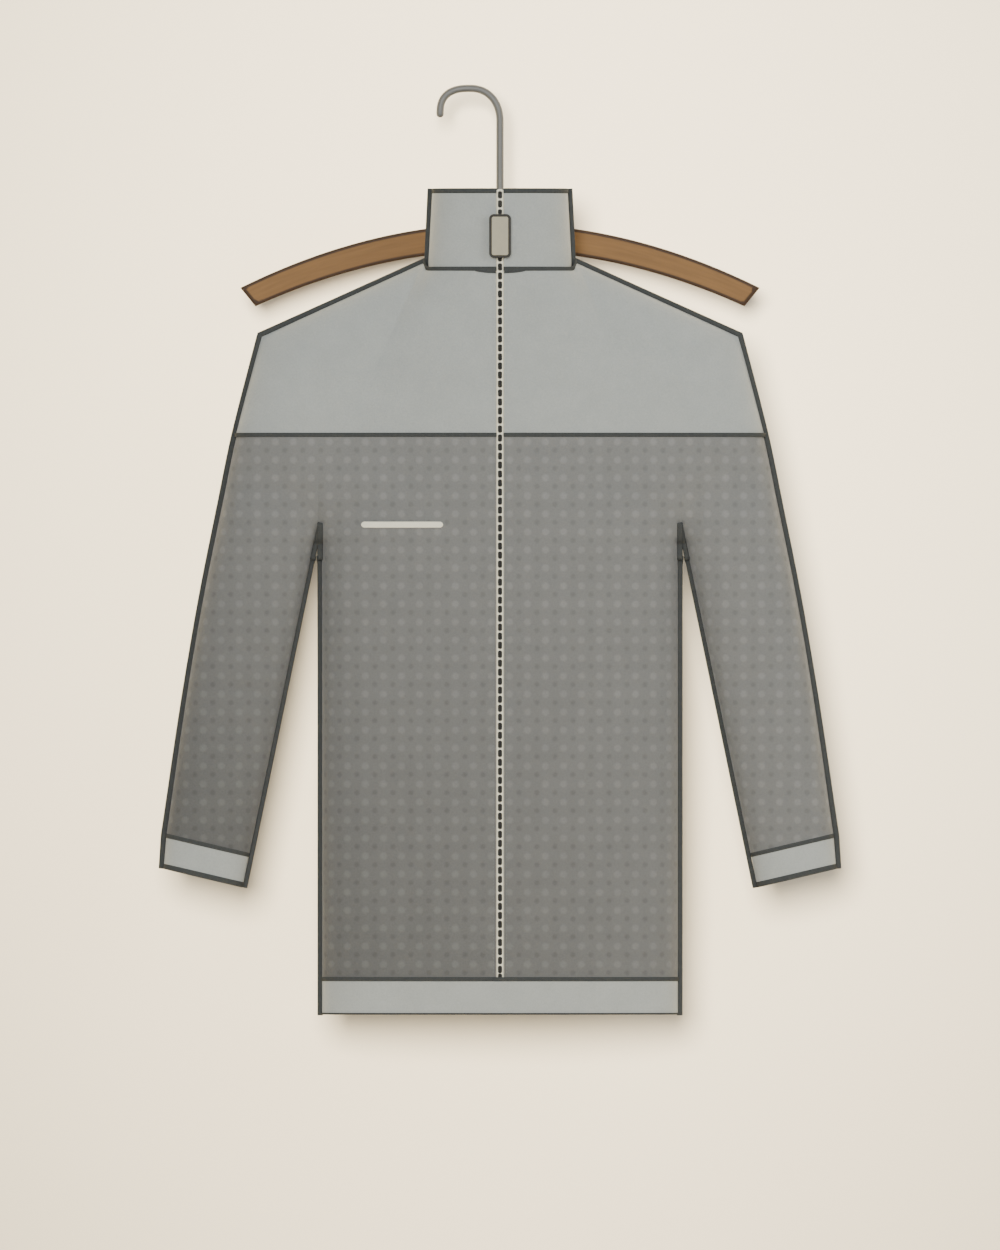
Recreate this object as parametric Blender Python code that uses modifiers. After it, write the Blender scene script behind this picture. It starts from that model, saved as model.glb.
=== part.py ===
"""Fleece jacket with a stand collar, a yoke in a paler cloth and a long zip, hung by its loop on a flat wooden hanger.

Metres, +Z up. The origin is the hook's seat, the inside top of its bend, and the wearer would face -Y.
Every piece hangs from one empty on the garment's centre line, so that x = 0 below is the middle of the jacket.
"Right" is the wearer's right, at -X. A cloth piece is a grid of points on the garment's outer face, thickened
inwards; the front pieces keep to their side of the plane y = SIDE_SEAM_Y and the back pieces to the other side.
"""
import math
from collections import namedtuple

import bmesh
import bpy
from mathutils import Matrix, Vector

# ---- Cloth and gaps
WALL = 0.0022            # fleece, one layer
SEAM = 0.0003            # gap where two pieces meet
LIP = 0.0012             # the last bit of cloth that runs straight into a side or shoulder seam
ROUNDNESS = 2.4          # 2 is an ellipse, more is squarer: sections of body, sleeves and collar
MEETING = 4.0            # how sharply the sleeve's tube takes over from the body's side under the yoke
SIDE_SEAM_Y = -0.050     # plane of the side, underarm, overarm and shoulder seams
WELD = 0.00001           # points nearer than this are one point

# ---- Heights, below the hook's seat
COLLAR_TOP_Z = -0.0940
NECK_FRONT_Z = -0.1700
NECK_SIDE_Z = -0.1625
NECK_BACK_Z = -0.1600
CORNER = 10                  # how close to the side the neck seam turns up over the shoulder
SHOULDER_TIP_Z = -0.2309
YOKE_SEAM_Z = -0.3263
ARMPIT_Z = -0.4240
ARMPIT_OUTER_Z = -0.4030     # where the armpit's row of the sleeve meets the overarm seam
HEM_SEAM_Z = -0.8431
HEM_Z = -0.8778

# ---- Half widths and half depths
COLLAR_HALF_TOP = 0.0679
COLLAR_HALF_FOOT = 0.0716
COLLAR_FRONT_TOP, COLLAR_FRONT_FOOT = 0.0368, 0.0380
COLLAR_BACK_TOP, COLLAR_BACK_FOOT = 0.0392, 0.0400
BODY_HALF = 0.1725
ARMPIT_DEPTH = 0.0300        # half depth of the yoke seam straight above the armpit
CUFF_SEAM_OUT = (0.3205, -0.7062)       # x and z of the cuff's corners
CUFF_SEAM_IN = (0.2352, -0.7260)
CUFF_END_OUT = (0.3230, -0.7364)
CUFF_END_IN = (0.2408, -0.7556)

Depth = namedtuple("Depth", "z front back")          # half depth of the body at its middle
BODY_DEPTHS = (
    Depth(-0.1700, 0.0380, 0.0400),
    Depth(-0.2300, 0.0425, 0.0430),
    Depth(-0.3263, 0.0460, 0.0445),
    Depth(-0.4240, 0.0458, 0.0440),
    Depth(-0.6000, 0.0420, 0.0405),
    Depth(-0.8431, 0.0390, 0.0375),
    Depth(-0.8778, 0.0386, 0.0370),
)
Edge = namedtuple("Edge", "z x")                     # the overarm seam, from shoulder tip to cuff
OVERARM = (
    Edge(-0.2309, 0.2290),
    Edge(-0.3250, 0.2533),
    Edge(-0.3886, 0.2666),
    Edge(-0.4836, 0.2858),
    Edge(-0.5786, 0.3019),
    Edge(-0.7062, 0.3205),
)
Girth = namedtuple("Girth", "z half_depth")          # of the sleeve, by the height of its inner edge
SLEEVE_DEPTHS = (
    Girth(-0.4240, 0.0270),
    Girth(-0.5500, 0.0245),
    Girth(-0.7260, 0.0225),
)
Fold = namedtuple("Fold", "x top run depth width")   # soft hanging troughs, +x on the wearer's left
FRONT_FOLDS = (
    Fold(-0.098, -0.560, 0.240, 0.0032, 0.021),
    Fold(-0.052, -0.700, 0.150, 0.0018, 0.014),
    Fold(0.074, -0.500, 0.300, 0.0028, 0.019),
    Fold(0.126, -0.640, 0.190, 0.0022, 0.015),
)
BACK_FOLDS = (
    Fold(-0.112, -0.600, 0.220, 0.0030, 0.019),
    Fold(-0.034, -0.520, 0.300, 0.0026, 0.022),
    Fold(0.061, -0.660, 0.180, 0.0024, 0.016),
    Fold(0.118, -0.560, 0.250, 0.0030, 0.018),
)
FOLD_MARGIN = 0.030          # the folds grow to full depth over this width beside the zip
CUFF_TRIM_FROM = BODY_HALF + 0.020      # the cuff seam's plane cuts only the sleeve, beyond this x

# ---- Zip
ZIP_STEP = 0.002             # no two bends of the zip's line are nearer than this
ZIP_EDGE = 0.0044            # the cloth stops this far from the middle
ZIP_FLAT = 0.0140            # and lies flat this far, over the tape
CHAIN_HALF = 0.00215
CHAIN_PROUD = 0.0003
CHAIN_THICK = 0.0036
ROW_INNER = 0.00065          # the two open rows above the slider
TAPE_INNER = 0.0025
TAPE_OUTER = 0.0130
TAPE_THICK = 0.0010
TAPE_FOOT_Z = -0.8500
SLIDER_TOP_Z = -0.1172
SLIDER_HEIGHT = 0.0130
SLIDER_HALF = 0.0042
PLATE = 0.0012
DIAMOND_HALF = 0.00035
DIAMOND_HEIGHT = 0.0034
TAB_WIDTH, TAB_HEIGHT, TAB_THICK = 0.0205, 0.0415, 0.0020
TAB_TOP_Z = -0.1169
TAB_CORNER = 0.0042
TAB_BEVEL = 0.0004
PIVOT_DROP = 0.0013          # from the tab's top to its pin
PIVOT_PROUD = 0.0019         # from the slider's face to the pin
PIN_RADIUS = 0.0007
EYE_INNER, EYE_OUTER = 0.0010, 0.0017
EYE_HALF = 0.0015
CHEEK_INNER, CHEEK_WIDTH, CHEEK_RADIUS = 0.0018, 0.0010, 0.0012
CHEEK_PROUD = 0.00005        # each cheek's eye stands this far off the web that joins it to the tab
WEB_SHORT = 0.0002           # and the web's top stays this far below the eye's

# ---- Chest welt, on the wearer's right
WELT_RIGHT, WELT_LEFT = -0.1307, -0.0538
WELT_Z, WELT_HEIGHT, WELT_THICK = -0.4123, 0.0062, 0.0014
WELT_END = 14                # its ends round off over a fourteenth of its half length
WELT_TIP = 0.004             # and are cut square this near to a point

# ---- Hanger and its hook
HOOK_HALF = 0.0285                          # from the bend's top to the stem, and to the tip
HOOK_TIP_RISE, HOOK_TIP_ROUNDNESS = 0.0242, 2.6
HOOK_STEM_RISE, HOOK_STEM_ROUNDNESS = 0.0318, 2.2
WIRE = 0.0065
TipRing = namedtuple("TipRing", "drop share")        # below the wire's end, and of its radius
HOOK_TIP = (TipRing(1.0, 0.15), TipRing(0.88, 0.5), TipRing(0.7, 0.75), TipRing(0.4, 0.93))
BAR_TOP_Z, BAR_FOOT_Z = -0.1264, -0.1503     # at the middle
BAR_TOP_RADIUS, BAR_FOOT_RADIUS = 0.490, 0.510
BAR_TOP_HALF, BAR_FOOT_HALF = 0.2470, 0.2325
BAR_THICK = 0.0120
BAR_EDGE = 0.0018
STEM_DEPTH = 0.0150
LOOP_RADIUS = 0.0015
LOOP_HALF = 0.0110
LOOP_CLEAR = 0.0001          # beyond the seam's gap, where the cord bends
LOOP_TURN = (-5, 20, 45, 70, 90)         # degrees round the stem, from its side to its back

# ---- Divisions of the grids
BODY_COLUMNS = 11
SLEEVE_COLUMNS = 10
NECK_COLUMNS = 7
YOKE_ROWS = 9
CHEST_ROWS = 7
BODY_ROWS = 13
SLEEVE_ROWS = 11
BAND_ROWS = 2
WELT_COLUMNS, WELT_ROWS = 12, 4
HOOK_STEPS = 8
BAR_STEPS = 20

Trim = namedtuple("Trim", "point normal from_x", defaults=(0.0,))   # from_x keeps a trim to the sleeves
Finish = namedtuple("Finish", "color roughness metallic")
FINISHES = {
    "pale_fleece": Finish((0.413, 0.418, 0.392), 0.95, 0.0),
    "dotted_fleece": Finish((0.219, 0.216, 0.202), 0.95, 0.0),
    "zip_tape": Finish((0.730, 0.694, 0.617), 0.85, 0.0),
    "zip_teeth": Finish((0.061, 0.051, 0.040), 0.45, 0.0),
    "slider_metal": Finish((0.230, 0.220, 0.200), 0.35, 0.9),
    "pull_rubber": Finish((0.440, 0.407, 0.332), 0.60, 0.0),
    "welt_tape": Finish((0.631, 0.591, 0.515), 0.80, 0.0),
    "loop_cord": Finish((0.090, 0.090, 0.080), 0.85, 0.0),
    "hanger_wood": Finish((0.296, 0.165, 0.072), 0.50, 0.0),
    "hook_wire": Finish((0.246, 0.235, 0.212), 0.35, 0.9),
}


# ---- Curves and sections

def eased(t):
    """0 to 1 with level ends."""
    t = min(max(t, 0.0), 1.0)
    return t * t * (3 - 2 * t)


def domed(t):
    """0 to 1, rising straight up at 0 and level at 1: how cloth leaves a seam at the silhouette."""
    t = min(max(t, 0.0), 1.0)
    return (1 - (1 - t) ** ROUNDNESS) ** (1 / ROUNDNESS)


def mixed(a, b, t):
    return a + (b - a) * t


def along(table, column, z):
    """A smooth curve through a table's column, by height. The rows run downwards."""
    if z >= table[0].z:
        return getattr(table[0], column)
    if z <= table[-1].z:
        return getattr(table[-1], column)
    k = next(i for i in range(len(table) - 1) if table[i + 1].z <= z)

    def slope(i):
        lower, upper = table[min(i + 1, len(table) - 1)], table[max(i - 1, 0)]
        return (getattr(upper, column) - getattr(lower, column)) / (upper.z - lower.z)

    span = table[k + 1].z - table[k].z
    t = (z - table[k].z) / span
    start, end = getattr(table[k], column), getattr(table[k + 1], column)
    return (
        start * (1 + 2 * t) * (1 - t) ** 2 + slope(k) * span * t * (1 - t) ** 2
        + end * t * t * (3 - 2 * t) - slope(k + 1) * span * t * t * (1 - t)
    )


def inner_edge(z):
    """Half width of the garment at a sleeve's inner edge: the body's side above the armpit, a straight line below."""
    t = (ARMPIT_Z - z) / (ARMPIT_Z - CUFF_SEAM_IN[1])
    return mixed(BODY_HALF, CUFF_SEAM_IN[0], max(t, 0.0))


def armpit_rise(z):
    """0 at the armpit, 1 at the yoke seam."""
    return min(max((z - ARMPIT_Z) / (YOKE_SEAM_Z - ARMPIT_Z), 0.0), 1.0)


def fold_depth(side, face, x, z):
    """How far the hanging folds pull the cloth in."""
    folds = FRONT_FOLDS if face == "front" else BACK_FOLDS
    pull = sum(
        fold.depth * math.exp(-(((side * x - fold.x) / fold.width) ** 2)) * eased((fold.top - z) / fold.run)
        for fold in folds
    )
    return pull * eased((x - ZIP_FLAT) / FOLD_MARGIN) * max(1 - (x / BODY_HALF) ** 2, 0.0)


def body_depth(face, side, x, z):
    """Half depth of the body, x from the middle, below the yoke seam."""
    middle = along(BODY_DEPTHS, face, z)
    rise = armpit_rise(z)
    side_depth = ARMPIT_DEPTH * domed(rise)
    out = min(max((x - ZIP_FLAT) / (BODY_HALF - ZIP_FLAT), 0.0), 1.0)
    spread = out ** ROUNDNESS
    rounded = (middle ** ROUNDNESS * (1 - spread) + side_depth ** ROUNDNESS * spread) ** (1 / ROUNDNESS)
    level = mixed(side_depth, middle, 0.5 + 0.5 * math.cos(math.pi * out))
    return mixed(rounded, level, eased(rise)) - fold_depth(side, face, x, z)


def sleeve_depth(inner_z, out):
    """Half depth of the sleeve's row, out from 0 at its inner edge to 1 at the overarm seam."""
    rise = armpit_rise(inner_z)
    from_body = ARMPIT_DEPTH * domed(rise) * (1 - out ** ROUNDNESS) ** (1 / ROUNDNESS)
    tube = (1 - abs(2 * out - 1) ** ROUNDNESS) ** (1 / ROUNDNESS)
    tube *= along(SLEEVE_DEPTHS, "half_depth", inner_z) * (1 - eased(rise))
    return (from_body ** MEETING + tube ** MEETING) ** (1 / MEETING)


def body_columns(start):
    """x of the body's columns, close together where the section turns round to the side seam."""
    turns = [math.sin(math.pi / 2 * k / (BODY_COLUMNS - 1)) ** (2 / ROUNDNESS) for k in range(BODY_COLUMNS)]
    return [start] + [mixed(ZIP_FLAT, BODY_HALF, turn) for turn in turns]


def sleeve_columns():
    """Fractions across the sleeve, close together at both edges."""
    return [0.5 - 0.5 * math.cos(math.pi * k / SLEEVE_COLUMNS) for k in range(SLEEVE_COLUMNS + 1)]


def centre_y(z):
    """The front's outer face at the zip."""
    if z >= NECK_FRONT_Z:
        up = (z - NECK_FRONT_Z) / (COLLAR_TOP_Z - NECK_FRONT_Z)
        return SIDE_SEAM_Y - mixed(COLLAR_FRONT_FOOT, COLLAR_FRONT_TOP, up)
    if z >= YOKE_SEAM_Z:
        return SIDE_SEAM_Y - yoke_depth("front", 1, 0, (NECK_FRONT_Z - z) / (NECK_FRONT_Z - YOKE_SEAM_Z))
    return SIDE_SEAM_Y - along(BODY_DEPTHS, "front", z)


def neck_ring(face, turn, up):
    """x, half depth and z of the collar's outer face: turn 0 at the centre, 1 at the side; up 0 at its foot."""
    half = mixed(COLLAR_HALF_FOOT, COLLAR_HALF_TOP, up)
    if face == "front":
        deep, foot = mixed(COLLAR_FRONT_FOOT, COLLAR_FRONT_TOP, up), NECK_FRONT_Z
    else:
        deep, foot = mixed(COLLAR_BACK_FOOT, COLLAR_BACK_TOP, up), NECK_BACK_Z
    angle = math.pi / 2 * turn
    across = math.sin(angle) ** (2 / ROUNDNESS)
    z_foot = mixed(foot, NECK_SIDE_Z, across ** CORNER)
    return (
        mixed(ZIP_FLAT, half, across),
        deep * max(math.cos(angle), 0.0) ** (2 / ROUNDNESS),
        mixed(z_foot, COLLAR_TOP_Z, up),
    )


def yoke_depth(face, side, column, down):
    """Half depth of a yoke: column counts from the middle, down is 0 at neck or shoulder and 1 at the yoke seam."""
    xs = body_columns(ZIP_EDGE)
    if column < len(xs):
        foot = body_depth(face, side, xs[column], YOKE_SEAM_Z)
    else:
        foot = sleeve_depth(YOKE_SEAM_Z, sleeve_columns()[column - len(xs) + 1])
    neck_middle = neck_ring(face, 0, 0)[1]
    neck = neck_ring(face, (column - 1) / (NECK_COLUMNS - 1), 0)[1] if 1 <= column <= NECK_COLUMNS else 0.0
    neck = neck_middle if column == 0 else neck
    share = neck / neck_middle
    return neck * (1 - eased(down)) + foot * mixed(domed(down), eased(down), share)


# ---- Building

def collection_of(name):
    made = bpy.data.collections.new(name)
    bpy.context.scene.collection.children.link(made)
    return made


def material_of(slot):
    finish = FINISHES[slot]
    made = bpy.data.materials.get(slot) or bpy.data.materials.new(slot)
    made.use_nodes = True
    shader = made.node_tree.nodes["Principled BSDF"]
    shader.inputs["Base Color"].default_value = (*finish.color, 1)
    shader.inputs["Roughness"].default_value = finish.roughness
    shader.inputs["Metallic"].default_value = finish.metallic
    return made


class Builder:
    """Adds objects to one collection, under one empty."""

    def __init__(self, collection, root):
        self.collection = collection
        self.root = root

    def add(self, name, data, slot, smooth_angle=math.radians(40)):
        made = bpy.data.objects.new(name, data)
        self.collection.objects.link(made)
        made.parent = self.root
        data.materials.clear()
        data.materials.append(material_of(slot))
        if isinstance(data, bpy.types.Mesh) and smooth_angle:
            data.shade_smooth()
            data.set_sharp_from_angle(angle=smooth_angle)
        return made

    def baked(self, obj):
        """The object's mesh with its modifiers applied."""
        bpy.context.view_layer.update()
        graph = bpy.context.evaluated_depsgraph_get()
        mesh = bpy.data.meshes.new_from_object(obj.evaluated_get(graph))
        obj.modifiers.clear()
        obj.data = mesh
        return obj

    def cloth(self, name, quads, facing, slot, trims, wall=WALL):
        """Thickens quads of points on the outer face inwards, and trims what passes a seam's plane."""
        mesh = bpy.data.meshes.new(name)
        bm = bmesh.new()
        for quad in quads:
            bm.faces.new([bm.verts.new(point) for point in quad])
        bmesh.ops.remove_doubles(bm, verts=bm.verts, dist=WELD)
        bmesh.ops.dissolve_degenerate(bm, edges=bm.edges, dist=WELD / 10)
        bmesh.ops.recalc_face_normals(bm, faces=bm.faces)
        if sum(face.normal.dot(facing(face.calc_center_median())) * face.calc_area() for face in bm.faces) < 0:
            bmesh.ops.reverse_faces(bm, faces=bm.faces)
        bm.to_mesh(mesh)
        bm.free()
        obj = self.add(name, mesh, slot)
        thick = obj.modifiers.new("Wall", "SOLIDIFY")
        thick.thickness = wall
        thick.offset = -1
        self.baked(obj)
        for vertex in obj.data.vertices:
            for trim in trims:
                past = (vertex.co - trim.point).dot(trim.normal)
                if past > 0 and abs(vertex.co.x) >= trim.from_x:
                    vertex.co -= past * trim.normal
        obj.data.shade_smooth()
        obj.data.set_sharp_from_angle(angle=math.radians(50))
        return obj


def grid_quads(rows):
    """The quads between successive rows of points."""
    return [
        (upper[k], upper[k + 1], lower[k + 1], lower[k])
        for upper, lower in zip(rows, rows[1:])
        for k in range(len(upper) - 1)
    ]


def placed(face, side, x, depth, z):
    """A point of the outer face: side 1 is the wearer's left, -1 the right."""
    forward = -1 if face == "front" else 1
    return Vector((side * x, SIDE_SEAM_Y + forward * depth, z))


def lip_quads(face, side, edge):
    """The strip that runs straight in from an edge of (x, z) points to the seam's plane."""
    return grid_quads([
        [placed(face, side, x, LIP, z) for x, z in edge],
        [placed(face, side, x, SEAM / 2, z) for x, z in edge],
    ])


def seam_plane(face):
    """Cloth of one face stays on its side of the side seams."""
    forward = -1 if face == "front" else 1
    return Trim(Vector((0, SIDE_SEAM_Y + forward * SEAM / 2, 0)), Vector((0, -forward, 0)))


def level_trims(top=None, foot=None):
    trims = []
    if top is not None:
        trims.append(Trim(Vector((0, 0, top - SEAM / 2)), Vector((0, 0, 1))))
    if foot is not None:
        trims.append(Trim(Vector((0, 0, foot + SEAM / 2)), Vector((0, 0, -1))))
    return trims


def centre_trim(side):
    """A front piece stops at the zip."""
    return Trim(Vector((side * ZIP_EDGE, 0, 0)), Vector((-side, 0, 0)))


def cuff_plane(side, towards_hand):
    """The cuff's seam, for the sleeve (towards the hand) or for the cuff."""
    out, inner = Vector(CUFF_SEAM_OUT), Vector(CUFF_SEAM_IN)
    run = out - inner
    down = Vector((side * run.y, 0, -run.x)).normalized()
    middle = (out + inner) / 2
    sign = 1 if towards_hand else -1
    return Trim(Vector((side * middle.x, 0, middle.y)) - sign * down * SEAM / 2, sign * down, CUFF_TRIM_FROM)


# ---- Cloth pieces

def yoke_points(face, side, start):
    """Rows of a yoke half, from neck and shoulder down to the yoke seam, with the edge along shoulder and overarm."""
    xs, across = body_columns(start), sleeve_columns()
    outer_x = along(OVERARM, "x", YOKE_SEAM_Z)
    feet = xs + [mixed(BODY_HALF, outer_x, part) for part in across[1:]]
    neck_x = COLLAR_HALF_FOOT
    tops = []
    for k, foot_x in enumerate(feet):
        if k == 0:
            tops.append((start, NECK_FRONT_Z if face == "front" else NECK_BACK_Z))
        elif k <= NECK_COLUMNS:
            x, _, z = neck_ring(face, (k - 1) / (NECK_COLUMNS - 1), 0)
            tops.append((x, z))
        else:
            part = (foot_x - feet[NECK_COLUMNS]) / (feet[-1] - feet[NECK_COLUMNS])
            tops.append((mixed(neck_x, OVERARM[0].x, part), mixed(NECK_SIDE_Z, SHOULDER_TIP_Z, part)))
    rows = []
    for i in range(YOKE_ROWS + 1):
        down = 1 - math.cos(math.pi / 2 * i / YOKE_ROWS)
        row = []
        for k, (top, foot_x) in enumerate(zip(tops, feet)):
            depth = max(yoke_depth(face, side, k, down), LIP)
            z = mixed(top[1], YOKE_SEAM_Z, down)
            x = along(OVERARM, "x", z) if k == len(feet) - 1 else mixed(top[0], foot_x, down)
            row.append(placed(face, side, x, depth, z))
        rows.append(row)
    shoulder = tops[NECK_COLUMNS:]
    overarm = [(abs(row[-1].x), row[-1].z) for row in rows]
    return rows, shoulder, overarm


def panel_rows(face, side, start):
    """Rows of a body half and of its sleeve half below the yoke seam. They share the column over the armpit."""
    xs, across = body_columns(start), sleeve_columns()
    chest = [1 - math.sin(math.pi / 2 * i / CHEST_ROWS) for i in range(CHEST_ROWS + 1)]
    levels = [mixed(ARMPIT_Z, YOKE_SEAM_Z, part) for part in chest]
    body_levels = levels + [mixed(ARMPIT_Z, HEM_SEAM_Z, i / BODY_ROWS) for i in range(1, BODY_ROWS + 1)]
    body = [
        [placed(face, side, x, max(body_depth(face, side, x, z), LIP), z) for x in xs]
        for z in body_levels
    ]
    sleeve_levels = [(z, mixed(ARMPIT_OUTER_Z, YOKE_SEAM_Z, part)) for z, part in zip(levels, chest)]
    for i in range(1, SLEEVE_ROWS + 1):
        part = i / SLEEVE_ROWS
        sleeve_levels.append((mixed(ARMPIT_Z, CUFF_SEAM_IN[1], part), mixed(ARMPIT_OUTER_Z, CUFF_SEAM_OUT[1], part)))
    sleeve = []
    for inner_z, outer_z in sleeve_levels:
        inner, outer = inner_edge(inner_z), along(OVERARM, "x", outer_z)
        sleeve.append([
            placed(face, side, mixed(inner, outer, part), max(sleeve_depth(inner_z, part), LIP),
                   mixed(inner_z, outer_z, part))
            for part in across
        ])
    return body, sleeve


def panel_quads(face, side, start):
    """All of a half panel: body, sleeve, and the lips along its seams."""
    body, sleeve = panel_rows(face, side, start)
    under = [(abs(row[-1].x), row[-1].z) for row in body[CHEST_ROWS:]][::-1]
    under += [(abs(row[0].x), row[0].z) for row in sleeve[CHEST_ROWS + 1:]]
    overarm = [(abs(row[-1].x), row[-1].z) for row in sleeve]
    return (
        grid_quads(body) + grid_quads(sleeve)
        + lip_quads(face, side, under) + lip_quads(face, side, overarm)
    )


def yoke_quads(face, side, start):
    rows, shoulder, overarm = yoke_points(face, side, start)
    return grid_quads(rows) + lip_quads(face, side, shoulder) + lip_quads(face, side, overarm)


def towards_front(_):
    return Vector((0, -1, 0))


def towards_back(_):
    return Vector((0, 1, 0))


def make_fronts(build):
    for side, hand in ((-1, "right"), (1, "left")):
        trims = [seam_plane("front"), centre_trim(side)]
        build.cloth(f"yoke_front_{hand}", yoke_quads("front", side, ZIP_EDGE), towards_front, "pale_fleece",
                    trims + level_trims(foot=YOKE_SEAM_Z))
        build.cloth(f"front_{hand}", panel_quads("front", side, ZIP_EDGE), towards_front, "dotted_fleece",
                    trims + level_trims(top=YOKE_SEAM_Z, foot=HEM_SEAM_Z) + [cuff_plane(side, True)])


def make_backs(build):
    yoke = yoke_quads("back", 1, 0) + yoke_quads("back", -1, 0)
    build.cloth("yoke_back", yoke, towards_back, "pale_fleece",
                [seam_plane("back")] + level_trims(foot=YOKE_SEAM_Z))
    panel = panel_quads("back", 1, 0) + panel_quads("back", -1, 0)
    build.cloth("back", panel, towards_back, "dotted_fleece",
                [seam_plane("back")] + level_trims(top=YOKE_SEAM_Z, foot=HEM_SEAM_Z)
                + [cuff_plane(1, True), cuff_plane(-1, True)])


def make_cuffs(build):
    """Each cuff is a short closed tube."""
    for side, hand in ((-1, "right"), (1, "left")):
        half_depth = SLEEVE_DEPTHS[-1].half_depth
        across = sleeve_columns()
        rows = []
        for i in range(BAND_ROWS + 1):
            part = i / BAND_ROWS
            outer = [mixed(a, b, part) for a, b in zip(CUFF_SEAM_OUT, CUFF_END_OUT)]
            inner = [mixed(a, b, part) for a, b in zip(CUFF_SEAM_IN, CUFF_END_IN)]
            row = []
            for face, fractions in (("front", across[:-1]), ("back", across[:0:-1])):
                for out in fractions:
                    depth = half_depth * (1 - abs(2 * out - 1) ** ROUNDNESS) ** (1 / ROUNDNESS)
                    row.append(placed(face, side, mixed(inner[0], outer[0], out), depth,
                                      mixed(inner[1], outer[1], out)))
            rows.append(row + row[:1])
        middle = sum((row[k] for row in rows for k in range(len(row) - 1)), Vector()) / (
            len(rows) * (len(rows[0]) - 1))
        build.cloth(f"cuff_{hand}", grid_quads(rows), lambda p, m=middle: (p - m) * Vector((1, 1, 0)), "pale_fleece",
                    [cuff_plane(side, False)])


def make_hem_band(build):
    """One closed ring, whole across the foot of the zip."""
    rows = []
    for i in range(BAND_ROWS + 1):
        z = mixed(HEM_SEAM_Z, HEM_Z, i / BAND_ROWS)
        row = []
        for face, side, order in (("front", 1, 1), ("back", 1, -1), ("back", -1, 1), ("front", -1, -1)):
            xs = body_columns(0)[::order]
            row += [placed(face, side, x, body_depth(face, side, x, z), z) for x in xs[:-1]]
        rows.append(row + row[:1])
    build.cloth("hem_band", grid_quads(rows), lambda p: Vector((p.x, p.y - SIDE_SEAM_Y, 0)), "pale_fleece",
                level_trims(top=HEM_SEAM_Z))


def make_collar(build):
    """A stand collar, open at the zip."""
    turns = [k / (NECK_COLUMNS - 1) for k in range(NECK_COLUMNS)]
    rows = []
    for up in (0, 0.25, 0.5, 0.75, 1):
        row = []
        for face, side, order in (("front", 1, 1), ("back", 1, -1), ("back", -1, 1), ("front", -1, -1)):
            stretch = [neck_ring(face, turn, up) for turn in turns[::order]]
            stretch = stretch if face == "front" and order == -1 else stretch[:-1]
            row += [placed(face, side, x, depth, z + SEAM * (1 - up)) for x, depth, z in stretch]
        _, depth, z = neck_ring("front", 0, up)
        ends = [placed("front", side, ZIP_EDGE, depth, z + SEAM * (1 - up)) for side in (1, -1)]
        rows.append([ends[0]] + row + [ends[1]])
    build.cloth("collar", grid_quads(rows), lambda p: Vector((p.x, p.y - SIDE_SEAM_Y, 0)), "pale_fleece", [])


# ---- Zip

def zip_levels(top, foot):
    """Heights down the zip where its line bends, from top to foot."""
    yoke = [mixed(NECK_FRONT_Z, YOKE_SEAM_Z, 1 - math.cos(math.pi / 2 * i / YOKE_ROWS)) for i in range(YOKE_ROWS)]
    levels = [top]
    for z in yoke + [mixed(YOKE_SEAM_Z, HEM_SEAM_Z, i / BODY_ROWS) for i in range(BODY_ROWS + 1)]:
        if foot + ZIP_STEP < z < levels[-1] - ZIP_STEP:
            levels.append(z)
    return levels + [foot]


def make_strip(build, name, x_near, x_far, front, back, top, foot, slot):
    """A bar down the centre front: front and back count from the cloth's outer face, inwards positive."""
    mesh = bpy.data.meshes.new(name)
    bm = bmesh.new()
    rings = []
    for z in zip_levels(top, foot):
        y = centre_y(z)
        corners = ((x_near, y + front), (x_far, y + front), (x_far, y + back), (x_near, y + back))
        rings.append([bm.verts.new((x, at, z)) for x, at in corners])
    for upper, lower in zip(rings, rings[1:]):
        for k in range(4):
            bm.faces.new((upper[k], upper[k - 1], lower[k - 1], lower[k]))
    bm.faces.new(rings[0])
    bm.faces.new(rings[-1][::-1])
    bmesh.ops.recalc_face_normals(bm, faces=bm.faces)
    bm.to_mesh(mesh)
    bm.free()
    return build.add(name, mesh, slot, smooth_angle=math.radians(20))


def make_zip(build):
    meeting_z = SLIDER_TOP_Z - DIAMOND_HEIGHT - 2 * SEAM
    make_strip(build, "zip_chain", -CHAIN_HALF, CHAIN_HALF, -CHAIN_PROUD, CHAIN_THICK - CHAIN_PROUD,
               meeting_z - SEAM, HEM_SEAM_Z + SEAM, "zip_teeth")
    for side, hand in ((-1, "right"), (1, "left")):
        make_strip(build, f"zip_row_{hand}", side * ROW_INNER, side * CHAIN_HALF, -CHAIN_PROUD,
                   CHAIN_THICK - CHAIN_PROUD, COLLAR_TOP_Z, meeting_z, "zip_teeth")
        make_strip(build, f"zip_tape_{hand}", side * TAPE_INNER, side * TAPE_OUTER, WALL + SEAM,
                   WALL + SEAM + TAPE_THICK, COLLAR_TOP_Z, TAPE_FOOT_Z, "zip_tape")


def box(name, low, high):
    mesh = bpy.data.meshes.new(name)
    bm = bmesh.new()
    bmesh.ops.create_cube(bm, size=1)
    size = Vector(high) - Vector(low)
    bm.transform(Matrix.Translation((Vector(low) + Vector(high)) / 2) @ Matrix.Diagonal((*size, 1)))
    bm.to_mesh(mesh)
    bm.free()
    return mesh


def rod(name, centre, radius, half_length, sides=20):
    """A round bar along X."""
    mesh = bpy.data.meshes.new(name)
    bm = bmesh.new()
    bmesh.ops.create_cone(bm, cap_ends=True, segments=sides, radius1=radius, radius2=radius, depth=2 * half_length)
    bm.transform(Matrix.Translation(centre) @ Matrix.Rotation(math.pi / 2, 4, "Y"))
    bm.to_mesh(mesh)
    bm.free()
    return mesh


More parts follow.
